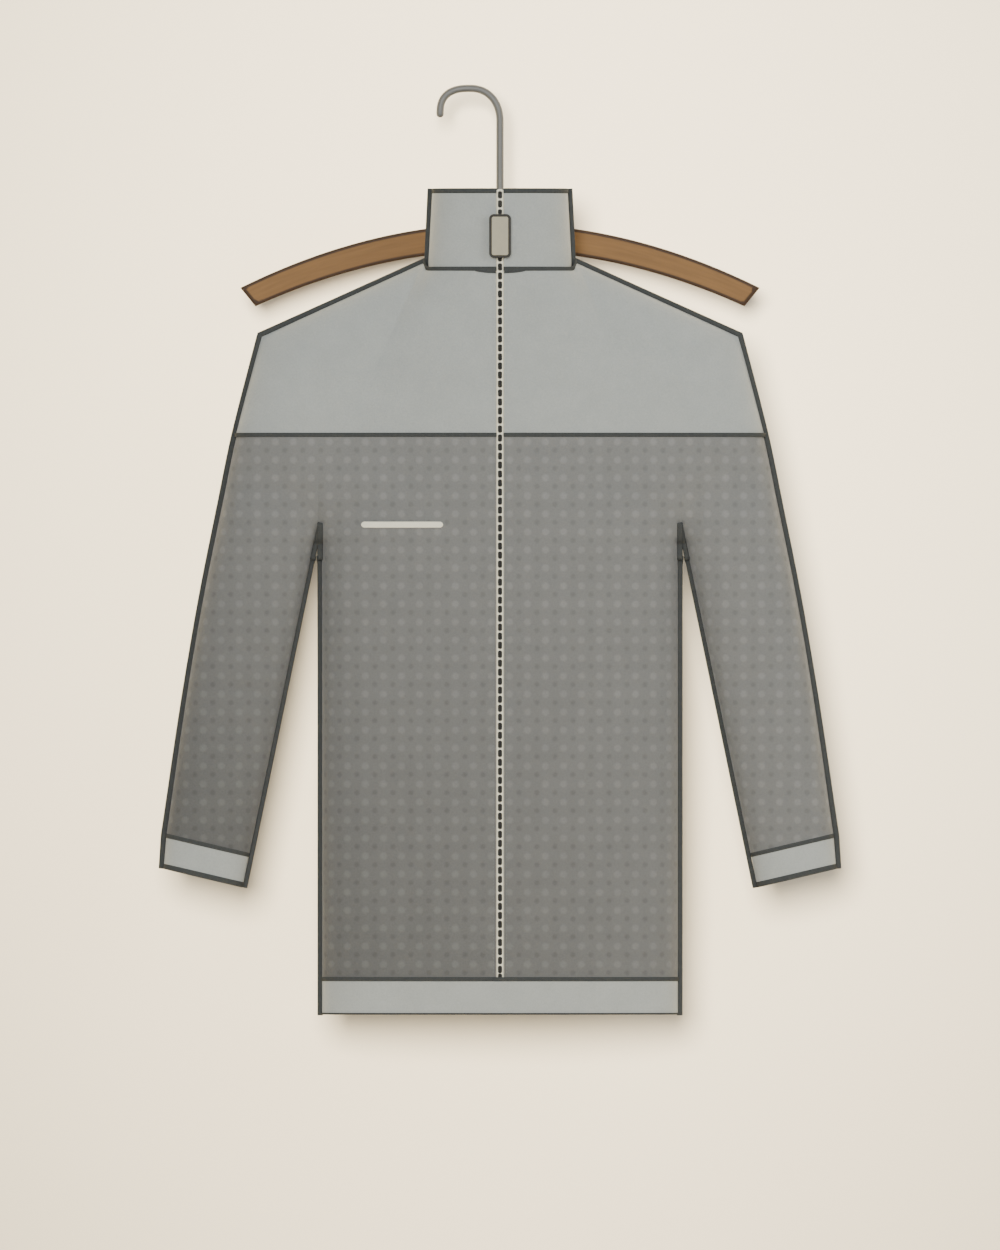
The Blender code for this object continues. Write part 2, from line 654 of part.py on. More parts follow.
def plate(build, name, outline, thick, edge):
    """A flat plate along XZ with rounded edges. The outline's points lie inside the edges' rounding."""
    curve = bpy.data.curves.new(name, "CURVE")
    curve.dimensions = "2D"
    curve.fill_mode = "BOTH"
    curve.extrude = thick / 2 - edge
    curve.bevel_depth = edge
    curve.bevel_resolution = 1
    spline = curve.splines.new("POLY")
    spline.points.add(len(outline) - 1)
    for point, (x, z) in zip(spline.points, outline):
        point.co = (x, z, 0, 1)
    spline.use_cyclic_u = True
    flat = bpy.data.objects.new("outline", curve)
    build.collection.objects.link(flat)
    bpy.context.view_layer.update()
    mesh = bpy.data.meshes.new_from_object(flat.evaluated_get(bpy.context.evaluated_depsgraph_get()))
    bpy.data.objects.remove(flat)
    mesh.transform(Matrix.Rotation(math.pi / 2, 4, "X"))
    bm = bmesh.new()
    bm.from_mesh(mesh)
    bmesh.ops.remove_doubles(bm, verts=bm.verts, dist=WELD)
    bmesh.ops.recalc_face_normals(bm, faces=bm.faces)
    bm.to_mesh(mesh)
    bm.free()
    return mesh


def combined(build, base, meshes, operation):
    """Joins or cuts the base object with each mesh in turn, and leaves nothing else behind."""
    finish = base.data.materials[0]
    for mesh in meshes:
        other = bpy.data.objects.new("tool", mesh)
        build.collection.objects.link(other)
        other.parent = base.parent
        step = base.modifiers.new(operation.title(), "BOOLEAN")
        step.operation = operation
        step.object = other
        build.baked(base)
        bpy.data.objects.remove(other)
    base.data.materials.clear()
    base.data.materials.append(finish)
    return base


def pivot_point():
    """The pull tab's pin."""
    z = TAB_TOP_Z - PIVOT_DROP
    face_y = centre_y(z) - CHAIN_PROUD - SEAM - PLATE
    return Vector((0, face_y - PIVOT_PROUD, z))


def make_slider(build):
    """Two plates round the teeth, the diamond between the open rows, and an eye for the tab's pin."""
    pivot = pivot_point()
    face_y = pivot.y + PIVOT_PROUD
    foot_z = SLIDER_TOP_Z - SLIDER_HEIGHT
    back_y = centre_y(SLIDER_TOP_Z) + WALL + SEAM + TAPE_THICK + SEAM
    front = box("zip_slider", (-SLIDER_HALF, face_y, foot_z), (SLIDER_HALF, face_y + PLATE, SLIDER_TOP_Z))
    slider = build.add("zip_slider", front, "slider_metal")
    back = box("back", (-SLIDER_HALF, back_y, foot_z), (SLIDER_HALF, back_y + PLATE, SLIDER_TOP_Z))
    diamond = box("diamond", (-DIAMOND_HALF, face_y + PLATE / 2, SLIDER_TOP_Z - DIAMOND_HEIGHT),
                  (DIAMOND_HALF, back_y + PLATE / 2, SLIDER_TOP_Z - SEAM))
    eye = rod("eye", pivot, EYE_OUTER, EYE_HALF)
    neck = box("neck", (-EYE_HALF, pivot.y, pivot.z - EYE_OUTER), (EYE_HALF, face_y + PLATE / 2, pivot.z + SEAM))
    combined(build, slider, (diamond, back, eye, neck), "UNION")
    return combined(build, slider, (rod("hole", pivot, EYE_INNER, 2 * EYE_HALF),), "DIFFERENCE")


def make_tab(build):
    """The pull tab, with two cheeks and a pin at its back. Its origin is on the pin's axis."""
    hinge = bpy.data.objects.new("pull_tab_axis", None)
    build.collection.objects.link(hinge)
    hinge.parent = build.root
    hinge.location = pivot_point()
    corner = TAB_CORNER - TAB_BEVEL
    outline = []
    for k, (sx, sz) in enumerate(((1, 1), (-1, 1), (-1, -1), (1, -1))):
        for i in range(6):
            turn = math.radians(90 * k + 18 * i)
            outline.append((
                sx * (TAB_WIDTH / 2 - TAB_CORNER) + corner * math.cos(turn),
                sz * (TAB_HEIGHT / 2 - TAB_CORNER) + corner * math.sin(turn),
            ))
    mesh = plate(build, "pull_tab", outline, TAB_THICK, TAB_BEVEL)
    middle_y = -EYE_OUTER - SEAM - TAB_THICK / 2
    mesh.transform(Matrix.Translation((0, middle_y, PIVOT_DROP - TAB_HEIGHT / 2)))
    tab = build.add("pull_tab", mesh, "pull_rubber")
    tab.parent = hinge
    parts = []
    for side in (-1, 1):
        at = side * (CHEEK_INNER + CHEEK_WIDTH / 2)
        parts.append(box("web", (at - CHEEK_WIDTH / 2, middle_y, -CHEEK_RADIUS),
                         (at + CHEEK_WIDTH / 2, 0, CHEEK_RADIUS - WEB_SHORT)))
        parts.append(rod("cheek", (at, 0, 0), CHEEK_RADIUS, CHEEK_WIDTH / 2 + CHEEK_PROUD))
    parts.append(rod("pin", (0, 0, 0), PIN_RADIUS, CHEEK_INNER + CHEEK_WIDTH / 2))
    return combined(build, tab, parts, "UNION")


def make_welt(build):
    """The closed welt of a chest pocket, on the right front: the panel's own points, moved out."""
    half_length, middle = (WELT_LEFT - WELT_RIGHT) / 2, -(WELT_LEFT + WELT_RIGHT) / 2
    rows = []
    for i in range(WELT_ROWS + 1):
        row = []
        for k in range(WELT_COLUMNS + 1):
            across = -math.cos(math.pi * k / WELT_COLUMNS)
            x = middle + half_length * across
            half = WELT_HEIGHT / 2 * math.sqrt(min(1, max(1 - abs(across), WELT_TIP) * WELT_END))
            z = WELT_Z + mixed(half, -half, i / WELT_ROWS)
            depth = body_depth("front", -1, x, z) + 2 * SEAM + WELT_THICK
            row.append(placed("front", -1, x, depth, z))
        rows.append(row)
    build.cloth("chest_welt", grid_quads(rows), towards_front, "welt_tape", [], wall=WELT_THICK)


# ---- Hanger

def tube(build, name, points, radii, radius, resolution, slot):
    curve = bpy.data.curves.new(name, "CURVE")
    curve.dimensions = "3D"
    curve.bevel_depth = radius
    curve.bevel_resolution = resolution
    curve.use_fill_caps = True
    spline = curve.splines.new("POLY")
    spline.points.add(len(points) - 1)
    for point, at, share in zip(spline.points, points, radii):
        point.co = (*at, 1)
        point.radius = share
    return build.add(name, curve, slot)


def make_hook(build):
    """Wire with a rounded tip, a bend and a straight stem that is seated in the bar."""
    tip_z = WIRE / 2 - HOOK_TIP_RISE
    points = [(-2 * HOOK_HALF, 0, tip_z - ring.drop * WIRE / 2) for ring in HOOK_TIP]
    radii = [ring.share for ring in HOOK_TIP]
    for i in range(HOOK_STEPS + 1):
        turn = math.pi / 2 * i / HOOK_STEPS
        out, up = math.cos(turn) ** (2 / HOOK_TIP_ROUNDNESS), math.sin(turn) ** (2 / HOOK_TIP_ROUNDNESS)
        points.append((-HOOK_HALF - HOOK_HALF * out, 0, tip_z + HOOK_TIP_RISE * up))
    for i in range(1, HOOK_STEPS + 1):
        turn = math.pi / 2 * (1 - i / HOOK_STEPS)
        out, up = math.cos(turn) ** (2 / HOOK_STEM_ROUNDNESS), math.sin(turn) ** (2 / HOOK_STEM_ROUNDNESS)
        points.append((-HOOK_HALF + HOOK_HALF * out, 0, WIRE / 2 - HOOK_STEM_RISE * (1 - up)))
    points.append((0, 0, (points[-1][2] + BAR_TOP_Z) / 2))
    points.append((0, 0, BAR_TOP_Z - STEM_DEPTH))
    radii += [1] * (len(points) - len(radii))
    return tube(build, "hanger_hook", points, radii, WIRE / 2, 3, "hook_wire")


def bar_edge(x, middle_z, radius):
    """Height of an edge of the bar, a shallow parabola of this radius at the middle."""
    return middle_z - x ** 2 / (2 * radius)


def make_bar(build):
    """The arms: one flat curved bar with slanted ends, bored for the hook's stem."""
    top = [mixed(-BAR_TOP_HALF, BAR_TOP_HALF, i / BAR_STEPS) for i in range(BAR_STEPS + 1)]
    foot = [mixed(BAR_FOOT_HALF, -BAR_FOOT_HALF, i / BAR_STEPS) for i in range(BAR_STEPS + 1)]
    outline = [(x, bar_edge(x, BAR_TOP_Z - BAR_EDGE, BAR_TOP_RADIUS)) for x in top]
    outline += [(x, bar_edge(x, BAR_FOOT_Z + BAR_EDGE, BAR_FOOT_RADIUS)) for x in foot]
    mesh = plate(build, "hanger_bar", outline, BAR_THICK, BAR_EDGE)
    bar = build.add("hanger_bar", mesh, "hanger_wood")
    bore = bpy.data.meshes.new("bore")
    bm = bmesh.new()
    radius = WIRE / 2 + SEAM
    bmesh.ops.create_cone(bm, cap_ends=True, segments=20, radius1=radius, radius2=radius,
                          depth=2 * (STEM_DEPTH + SEAM))
    bm.transform(Matrix.Translation((0, 0, BAR_TOP_Z)))
    bm.to_mesh(bore)
    bm.free()
    return combined(build, bar, (bore,), "DIFFERENCE")


def make_loop(build):
    """The hanging loop: up from the back neck seam, over the bar and round behind the hook's stem."""
    gap = LOOP_RADIUS + SEAM
    neck_y = SIDE_SEAM_Y + COLLAR_BACK_FOOT + gap + LOOP_CLEAR
    rise_y = -BAR_THICK / 2 - gap
    over_z = BAR_TOP_Z + gap + LOOP_CLEAR
    half = [
        (LOOP_HALF, neck_y + 2 * LOOP_CLEAR, NECK_BACK_Z - 4 * LOOP_RADIUS),
        (LOOP_HALF, neck_y, NECK_BACK_Z),
        (LOOP_HALF, rise_y, BAR_FOOT_Z),
        (LOOP_HALF, rise_y, BAR_TOP_Z - 4 * LOOP_RADIUS),
        (LOOP_HALF - LOOP_RADIUS / 2, rise_y, BAR_TOP_Z - LOOP_RADIUS / 2),
        (LOOP_HALF - LOOP_RADIUS, rise_y + LOOP_RADIUS, over_z - LOOP_RADIUS / 4),
        (LOOP_HALF - 2 * LOOP_RADIUS, rise_y + 2.5 * LOOP_RADIUS, over_z),
    ]
    for degrees in LOOP_TURN:
        turn = math.radians(degrees)
        half.append(((WIRE / 2 + gap) * math.cos(turn), (WIRE / 2 + gap) * math.sin(turn), over_z))
    points = half + [(-x, y, z) for x, y, z in half[-2::-1]]
    return tube(build, "hanging_loop", points, [1] * len(points), LOOP_RADIUS, 2, "loop_cord")


def main():
    for old in list(bpy.data.objects):
        bpy.data.objects.remove(old)
    collection = collection_of("fleece_jacket")
    root = bpy.data.objects.new("centre_line", None)
    collection.objects.link(root)
    root.location = (HOOK_HALF, 0, 0)
    build = Builder(collection, root)
    make_fronts(build)
    make_backs(build)
    make_cuffs(build)
    make_hem_band(build)
    make_collar(build)
    make_zip(build)
    make_slider(build)
    make_tab(build)
    make_welt(build)
    make_hook(build)
    make_bar(build)
    make_loop(build)


main()
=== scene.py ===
# %% [markdown]
# # A fleece jacket on a hanger
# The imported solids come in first. They are the frame: every piece below is made where its solid already is, and
# rides on the same body, so the garment can be looked at in any pose of its pull tab.

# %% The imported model
import math

import bmesh
import bpy
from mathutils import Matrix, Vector


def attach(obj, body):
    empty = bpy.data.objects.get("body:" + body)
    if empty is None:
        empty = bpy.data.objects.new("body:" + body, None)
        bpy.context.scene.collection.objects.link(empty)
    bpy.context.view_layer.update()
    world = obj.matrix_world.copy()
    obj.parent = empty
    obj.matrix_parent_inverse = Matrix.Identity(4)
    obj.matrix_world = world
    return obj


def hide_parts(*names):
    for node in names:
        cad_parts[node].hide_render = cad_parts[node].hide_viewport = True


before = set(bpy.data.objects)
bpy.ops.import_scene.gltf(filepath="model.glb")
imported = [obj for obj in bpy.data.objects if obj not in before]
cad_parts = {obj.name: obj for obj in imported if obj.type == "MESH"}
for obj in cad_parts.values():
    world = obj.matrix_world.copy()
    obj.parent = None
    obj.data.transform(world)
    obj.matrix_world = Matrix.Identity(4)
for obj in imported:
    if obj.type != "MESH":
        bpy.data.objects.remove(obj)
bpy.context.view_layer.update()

# %% [markdown]
# ## The page's view
# The picture is a straight-on drawing with no perspective, 0.95 mm to a pixel. A very long lens from far away comes
# near to that, and is set up in the plane of the side seams.

# %% Camera
MM = 0.001
PAGE_WIDE, PAGE_HIGH, PIXEL = 1000, 1250, 0.95 * MM
HOOK_SEAT_ROW = 91.5            # how far down the picture the hook's seat is, where z is 0
MIDDLE_COLUMN = 500             # and how far across the jacket's middle is
CENTRE_X = 28.5 * MM            # the jacket's middle, beside the hook's seat
SIDE_SEAM_Y = -50 * MM          # the plane of the side, underarm, overarm and shoulder seams
LENS = 1350                     # the longest with which the views from other sides still reach the garment


def in_scene(name, data):
    """A new object, put into the scene."""
    made = bpy.data.objects.new(name, data)
    bpy.context.scene.collection.objects.link(made)
    return made


camera_data = bpy.data.cameras.new("page_camera")
camera_data.lens = LENS
camera_data.sensor_width = 36
camera_data.clip_end = 100
distance = PAGE_HIGH * PIXEL * LENS / camera_data.sensor_width
camera = in_scene("page_camera", camera_data)
camera.location = (
    CENTRE_X + (PAGE_WIDE / 2 - MIDDLE_COLUMN) * PIXEL,
    SIDE_SEAM_Y - distance,
    (HOOK_SEAT_ROW - PAGE_HIGH / 2) * PIXEL,
)
camera.rotation_euler = (math.pi / 2, 0, 0)
bpy.context.scene.camera = camera
print("camera", [round(c, 3) for c in camera.location])

# %% [markdown]
# ## A helper for materials
# Every piece gets a procedural material. They all start from the same shader, and most of them vary its colour a little
# from place to place, so the few kinds of node that they share are gathered here once.

# %% Paint
def linear(red, green, blue):
    """A colour given in the eight-bit values of the picture, as Blender wants it."""
    def one(value):
        share = value / 255
        return share / 12.92 if share <= 0.04045 else ((share + 0.055) / 1.055) ** 2.4
    return (one(red), one(green), one(blue), 1)


class Paint:
    """A new material, with short ways to add nodes to it."""

    def __init__(self, name):
        self.material = bpy.data.materials.new(name)
        self.material.use_nodes = True
        self.nodes, self.links = self.material.node_tree.nodes, self.material.node_tree.links
        self.shader = self.nodes["Principled BSDF"]

    def feed(self, socket, value):
        """Gives a socket a value, or joins another node's output to it."""
        if isinstance(value, bpy.types.NodeSocket):
            self.links.new(value, socket)
        else:
            socket.default_value = value

    def node(self, kind, *inputs, **values):
        """A node: inputs in their order, then inputs and settings by name."""
        made = self.nodes.new("ShaderNode" + kind)
        for name, value in values.items():
            if name in made.inputs:
                self.feed(made.inputs[name], value)
            else:
                setattr(made, name, value)
        for socket, value in zip(made.inputs, inputs):
            self.feed(socket, value)
        return made

    def math(self, operation, first, second):
        return self.node("Math", first, second, operation=operation).outputs[0]

    def vector(self, operation, *inputs, out=0, **values):
        return self.node("VectorMath", *inputs, operation=operation, **values).outputs[out]

    def spread(self, value, low, high, start=0, end=1, how="LINEAR"):
        """Low to high while the value runs from start to end, and level beyond."""
        return self.node("MapRange", value, start, end, low, high, interpolation_type=how).outputs[0]

    def places(self, kept=None):
        """Where a point lies, or the place that its mesh has kept for it under that name."""
        if kept:
            return self.node("Attribute", attribute_name=kept).outputs["Vector"]
        return self.node("TexCoord").outputs["Object"]

    def cloud(self, scale, low, high):
        """A soft patchiness, as a factor about 1."""
        noise = self.node("TexNoise", Vector=self.places(), Scale=scale, Detail=4.0, Roughness=0.55)
        return self.spread(noise.outputs[0], low, high, 0.3, 0.7)

    def shaded(self, color, factor):
        """The colour, made lighter or darker by a factor."""
        return self.vector("SCALE", color[:3] if isinstance(color, tuple) else color, Scale=factor)

    def bumped(self, height, distance, strength):
        bump = self.node("Bump", Height=height, Distance=distance, Strength=strength)
        self.links.new(bump.outputs[0], self.shader.inputs["Normal"])

    def surface(self, color, roughness, specular=0.5, **more):
        """Gives the shader its values, numbers or outputs of nodes, and returns the material."""
        values = {"Base Color": color, "Roughness": roughness, "Specular IOR Level": specular, **more}
        for name, value in values.items():
            self.feed(self.shader.inputs[name.replace("_", " ")], value)
        return self.material


def patchy(name, color, scale, low, high, roughness, specular):
    """A plain material whose colour varies softly from place to place."""
    paint = Paint(name)
    return paint.surface(paint.shaded(color, paint.cloud(scale, low, high)), roughness, specular)


print("the picture's mid grey is", [round(share, 3) for share in linear(128, 128, 128)])

# %% [markdown]
# ## Light and page
# The page is a cream wall close behind the hanger, so that the garment's soft shadow falls on it, a little below and to
# the right. It is far brighter than grey cloth in the same light, so a second sun shines on the page alone, through
# light linking, and casts the same shadow. A broad lamp from the right makes that side of the cloth a little lighter.
# For views from behind, the wall shows on its front alone, and light linking lets a lamp at the back shine through it.

# %% The page, and a floor far below
WALL_Y, FLOOR_Z, STAGE_HALF, STAGE_TOP_Z = 50 * MM, -1.30, 4.0, 3.0
# Painted light: the page's colour is brightest about the garment's middle and falls off away from it, towards the
# corners.
BRIGHT_X, BRIGHT_Z = 0.06, -0.15        # where the page is brightest
REACH_X, REACH_Z = 0.48, 0.70           # how far from there it has fallen to the share below
PAINTED_PAGE_FALLOFF = 0.81

paper = Paint("page_paper")
off_bright = paper.vector("MULTIPLY_ADD", paper.places(), (1 / REACH_X, 0, 1 / REACH_Z),
                          (-BRIGHT_X / REACH_X, 0, -BRIGHT_Z / REACH_Z))
# painted light: the share of the page's colour that is kept, smaller the farther from its brightest place
painted_light_fall = paper.math("POWER", PAINTED_PAGE_FALLOFF, paper.vector("DOT_PRODUCT", off_bright, off_bright, out="Value"))
paper.surface(paper.shaded(linear(241, 234, 221), painted_light_fall), 0.95, 0.1)
from_front_alone = paper.node("MixShader", paper.node("NewGeometry").outputs["Backfacing"], paper.shader.outputs[0],
                              paper.node("BsdfTransparent").outputs[0])
paper.links.new(from_front_alone.outputs[0], paper.nodes["Material Output"].inputs["Surface"])


def stage_sheet(name, corners, material):
    mesh = bpy.data.meshes.new(name)
    mesh.from_pydata(corners, [], [range(4)])
    mesh.materials.append(material)
    made = in_scene(name, mesh)
    return made


ACROSS = (-STAGE_HALF, STAGE_HALF, STAGE_HALF, -STAGE_HALF)
UP = (FLOOR_Z, FLOOR_Z, STAGE_TOP_Z, STAGE_TOP_Z)
DEEP = (-STAGE_HALF, -STAGE_HALF, STAGE_HALF, STAGE_HALF)
wall = stage_sheet("wall", [(x, WALL_Y, z) for x, z in zip(ACROSS, UP)], paper.material)
stage_sheet("floor", [(x, y, FLOOR_Z) for x, y in zip(ACROSS, DEEP)],
            Paint("floor_paper").surface(linear(236, 228, 212), 0.9))

# %% Lamps
MIDDLE = Vector((CENTRE_X, SIDE_SEAM_Y, -0.5))
SUN_AT, SIDE_LAMP_AT, BACK_LAMP_AT = (-0.30, -2.6, 0.46), (1.7, -1.5, 1.0), (0.6, 2.4, 1.2)
WORLD_STRENGTH = 0.42


def lamp(name, kind, power, at, size, color=(1, 1, 1)):
    """A lamp at a place from the garment's middle, aimed at it. Size is a sun's angle in degrees or a disk's width."""
    data = bpy.data.lights.new(name, kind)
    data.energy, data.color = power, color
    if kind == "SUN":
        data.angle = math.radians(size)
    else:
        data.shape, data.size = "DISK", size
    made = in_scene(name, data)
    made.location = MIDDLE + Vector(at)
    made.rotation_euler = (MIDDLE - made.location).to_track_quat("-Z", "Y").to_euler()
    return made


def wall_alone(name):
    made = bpy.data.collections.new(name)
    made.objects.link(wall)
    return made


lamp("key_sun", "SUN", 2.2, SUN_AT, 20)
page_sun = lamp("page_sun", "SUN", 10.6, SUN_AT, 22, color=(1, 0.84, 0.55))
page_sun.light_linking.receiver_collection = wall_alone("page_only")
lamp("side_fill", "AREA", 16, SIDE_LAMP_AT, 1.6)
back_fill = lamp("back_fill", "AREA", 60, BACK_LAMP_AT, 2.0)
lets_through = wall_alone("lets_through")
lets_through.collection_objects[0].light_linking.link_state = "EXCLUDE"
back_fill.light_linking.blocker_collection = lets_through
world = bpy.data.worlds.new("page_world")
bpy.context.scene.world = world
world.use_nodes = True
sky = world.node_tree.nodes["Background"].inputs
sky["Color"].default_value, sky["Strength"].default_value = linear(218, 228, 240), WORLD_STRENGTH
print("lamps:", len(bpy.data.lights))

# %% [markdown]
# ## The garment's shape
# The jacket is cut in two faces, front and back, that meet in one upright plane along shoulders, overarms, underarms
# and sides. Each face is a gentle dome over that plane, given by a depth at every point of the picture. The same
# numbers made the solids, so the cloth below lies on them, only finer.

# %% Cloth and seams
WALL = 2.2 * MM                 # fleece, one layer
SEAM = 0.3 * MM                 # gap where two pieces meet
LIP = 1.2 * MM                  # the last bit of cloth that runs straight into a seam
ROUNDNESS = 2.4                 # 2 is an ellipse, more is squarer
MEETING = 4.0                   # how sharply the sleeve's tube takes over from the body's side

COLLAR_TOP_Z = -94.0 * MM
NECK_FRONT_Z = -170.0 * MM
NECK_SIDE_Z = -162.5 * MM
NECK_BACK_Z = -160.0 * MM
CORNERS = {"front": 70, "back": 10}     # how close to the side the neck seam turns up over the shoulder
YOKE_SEAM_Z = -326.3 * MM
ARMPIT_Z = -424.0 * MM
ARMPIT_OUTER_Z = -403.0 * MM
HEM_SEAM_Z = -843.1 * MM
HEM_Z = -877.8 * MM
SHOULDER_TIP = (229.0 * MM, -230.9 * MM)

COLLAR_HALF_TOP, COLLAR_HALF_FOOT = 67.9 * MM, 71.6 * MM
COLLAR_FRONT_TOP, COLLAR_FRONT_FOOT = 36.8 * MM, 38.0 * MM
COLLAR_BACK_TOP, COLLAR_BACK_FOOT = 39.2 * MM, 40.0 * MM
BODY_HALF = 172.5 * MM
ARMPIT_DEPTH = 30.0 * MM
ZIP_EDGE, ZIP_FLAT = 3.85 * MM, 14.0 * MM
CUFF_SEAM_OUT, CUFF_SEAM_IN = (320.5 * MM, -706.2 * MM), (235.2 * MM, -726.0 * MM)
CUFF_END_OUT, CUFF_END_IN = (323.0 * MM, -736.4 * MM), (240.8 * MM, -755.6 * MM)

# height, then depth of the front and of the back at the middle
BODY_DEPTHS = [(z * MM, front * MM, back * MM) for z, front, back in (
    (-170.0, 38.0, 40.0), (-230.0, 42.5, 43.0), (-326.3, 46.0, 44.5), (-424.0, 45.8, 44.0),
    (-600.0, 42.0, 40.5), (-843.1, 39.0, 37.5), (-877.8, 38.6, 37.0))]
# height and x of the overarm seam
OVERARM = [(z * MM, x * MM) for z, x in (
    (-230.9, 229.0), (-325.0, 253.3), (-388.6, 266.6), (-483.6, 285.8), (-578.6, 301.9), (-706.2, 320.5))]
# height of the inner edge and half depth of the sleeve there
SLEEVE_DEPTHS = [(z * MM, deep * MM) for z, deep in ((-424.0, 27.0), (-550.0, 24.5), (-726.0, 22.5))]
# x, top, run, depth and width of the soft hanging troughs
FRONT_FOLDS = [tuple(v * MM for v in fold) for fold in (
    (-98, -560, 240, 3.2, 21), (-52, -700, 150, 1.8, 14), (74, -500, 300, 2.8, 19), (126, -640, 190, 2.2, 15))]
BACK_FOLDS = [tuple(v * MM for v in fold) for fold in (
    (-112, -600, 220, 3.0, 19), (-34, -520, 300, 2.6, 22), (61, -660, 180, 2.4, 16), (118, -560, 250, 3.0, 18))]
FOLD_MARGIN = 30 * MM


# %% Curves
def eased(t):
    """0 to 1 with level ends."""
    t = min(max(t, 0.0), 1.0)
    return t * t * (3 - 2 * t)


def domed(t):
    """0 to 1, rising straight up at 0 and level at 1."""
    t = min(max(t, 0.0), 1.0)
    return (1 - (1 - t) ** ROUNDNESS) ** (1 / ROUNDNESS)


def bulge(t):
    """1 at 0 and 0 at 1 or -1, the same curve."""
    return max(1 - abs(t) ** ROUNDNESS, 0.0) ** (1 / ROUNDNESS)


def swung(share):
    """0 to 1 like the sine of a quarter turn, but squarer."""
    return math.sin(math.pi / 2 * share) ** (2 / ROUNDNESS)


def mixed(a, b, t):
    return a + (b - a) * t


def shares(count):
    """0 to 1 in that many equal steps."""
    return [k / count for k in range(count + 1)]


def along(table, column, z):
    """A smooth curve through a table's column, by height. The rows run downwards."""
    if z >= table[0][0]:
        return table[0][column]
    if z <= table[-1][0]:
        return table[-1][column]
    k = next(i for i in range(len(table) - 1) if table[i + 1][0] <= z)

    def slope(i):
        lower, upper = table[min(i + 1, len(table) - 1)], table[max(i - 1, 0)]
        return (upper[column] - lower[column]) / (upper[0] - lower[0])

    span = table[k + 1][0] - table[k][0]
    t = (z - table[k][0]) / span
    return (
        table[k][column] * (1 + 2 * t) * (1 - t) ** 2 + slope(k) * span * t * (1 - t) ** 2
        + table[k + 1][column] * t * t * (3 - 2 * t) - slope(k + 1) * span * t * t * (1 - t)
    )


# %% Depth of the body and of the sleeve
def armpit_rise(z):
    """0 at the armpit, 1 at the yoke seam."""
    return min(max((z - ARMPIT_Z) / (YOKE_SEAM_Z - ARMPIT_Z), 0.0), 1.0)


def fold_depth(side, face, x, z):
    """How far the hanging folds pull the cloth in."""
    pull = sum(
        depth * math.exp(-(((side * x - at) / width) ** 2)) * eased((top - z) / run)
        for at, top, run, depth, width in (FRONT_FOLDS if face == "front" else BACK_FOLDS)
    )
    return pull * eased((x - ZIP_FLAT) / FOLD_MARGIN) * max(1 - (x / BODY_HALF) ** 2, 0.0)


def body_depth(face, side, x, z):
    """Half depth of the body, x from the middle, below the yoke seam."""
    middle = along(BODY_DEPTHS, 1 if face == "front" else 2, z)
    rise = armpit_rise(z)
    side_depth = ARMPIT_DEPTH * domed(rise)
    out = min(max((x - ZIP_FLAT) / (BODY_HALF - ZIP_FLAT), 0.0), 1.0)
    spread = out ** ROUNDNESS
    rounded = (middle ** ROUNDNESS * (1 - spread) + side_depth ** ROUNDNESS * spread) ** (1 / ROUNDNESS)
    level = mixed(side_depth, middle, 0.5 + 0.5 * math.cos(math.pi * out))
    return mixed(rounded, level, eased(rise)) - fold_depth(side, face, x, z)


def sleeve_depth(inner_z, out):
    """Half depth of the sleeve, out from 0 at its inner edge to 1 at the overarm seam."""
    rise = armpit_rise(inner_z)
    from_body = ARMPIT_DEPTH * domed(rise) * bulge(out)
    tube = bulge(2 * out - 1) * (along(SLEEVE_DEPTHS, 1, inner_z) * (1 - eased(rise)))
    return (from_body ** MEETING + tube ** MEETING) ** (1 / MEETING)


def inner_edge(z):
    """Half width of the garment at a sleeve's inner edge."""
    t = (ARMPIT_Z - z) / (ARMPIT_Z - CUFF_SEAM_IN[1])
    return mixed(BODY_HALF, CUFF_SEAM_IN[0], max(t, 0.0))


# %% Depth of the collar and of the yoke
NECK_SHARE = 0.6                # the neckline takes this share of the body's columns


def body_x(u):
    """x of a column of the body: u is 0 beside the zip and 1 at the side, close together where the cloth turns."""
    return mixed(ZIP_FLAT, BODY_HALF, swung(u))


def sleeve_part(w):
    """Share of the way across the sleeve for w from 0 to 1, close together at both edges."""
    return 0.5 - 0.5 * math.cos(math.pi * w)


def neck_ring(face, turn, up):
    """x, half depth and z of the collar's outer face: turn 0 at the centre, 1 at the side; up 0 at its foot."""
    half = mixed(COLLAR_HALF_FOOT, COLLAR_HALF_TOP, up)
    if face == "front":
        deep, foot = mixed(COLLAR_FRONT_FOOT, COLLAR_FRONT_TOP, up), NECK_FRONT_Z
    else:
        deep, foot = mixed(COLLAR_BACK_FOOT, COLLAR_BACK_TOP, up), NECK_BACK_Z
    across = swung(turn)
    depth = deep * max(math.cos(math.pi / 2 * turn), 0.0) ** (2 / ROUNDNESS)
    z_foot = mixed(foot, NECK_SIDE_Z, across ** CORNERS[face])
    return mixed(ZIP_FLAT, half, across), depth, mixed(z_foot, COLLAR_TOP_Z, up)


def yoke_depth(face, side, u, w, x_foot, down):
    """Half depth of a yoke: u across the body, w across the sleeve, down from 0 at its top to 1 at its seam."""
    foot = body_depth(face, side, x_foot, YOKE_SEAM_Z) if w == 0 else sleeve_depth(YOKE_SEAM_Z, sleeve_part(w))
    neck_middle = neck_ring(face, 0, 0)[1]
    neck = neck_ring(face, max(u, 0) / NECK_SHARE, 0)[1] if u < NECK_SHARE and w == 0 else 0.0
    return neck * (1 - eased(down)) + foot * mixed(domed(down), eased(down), neck / neck_middle)


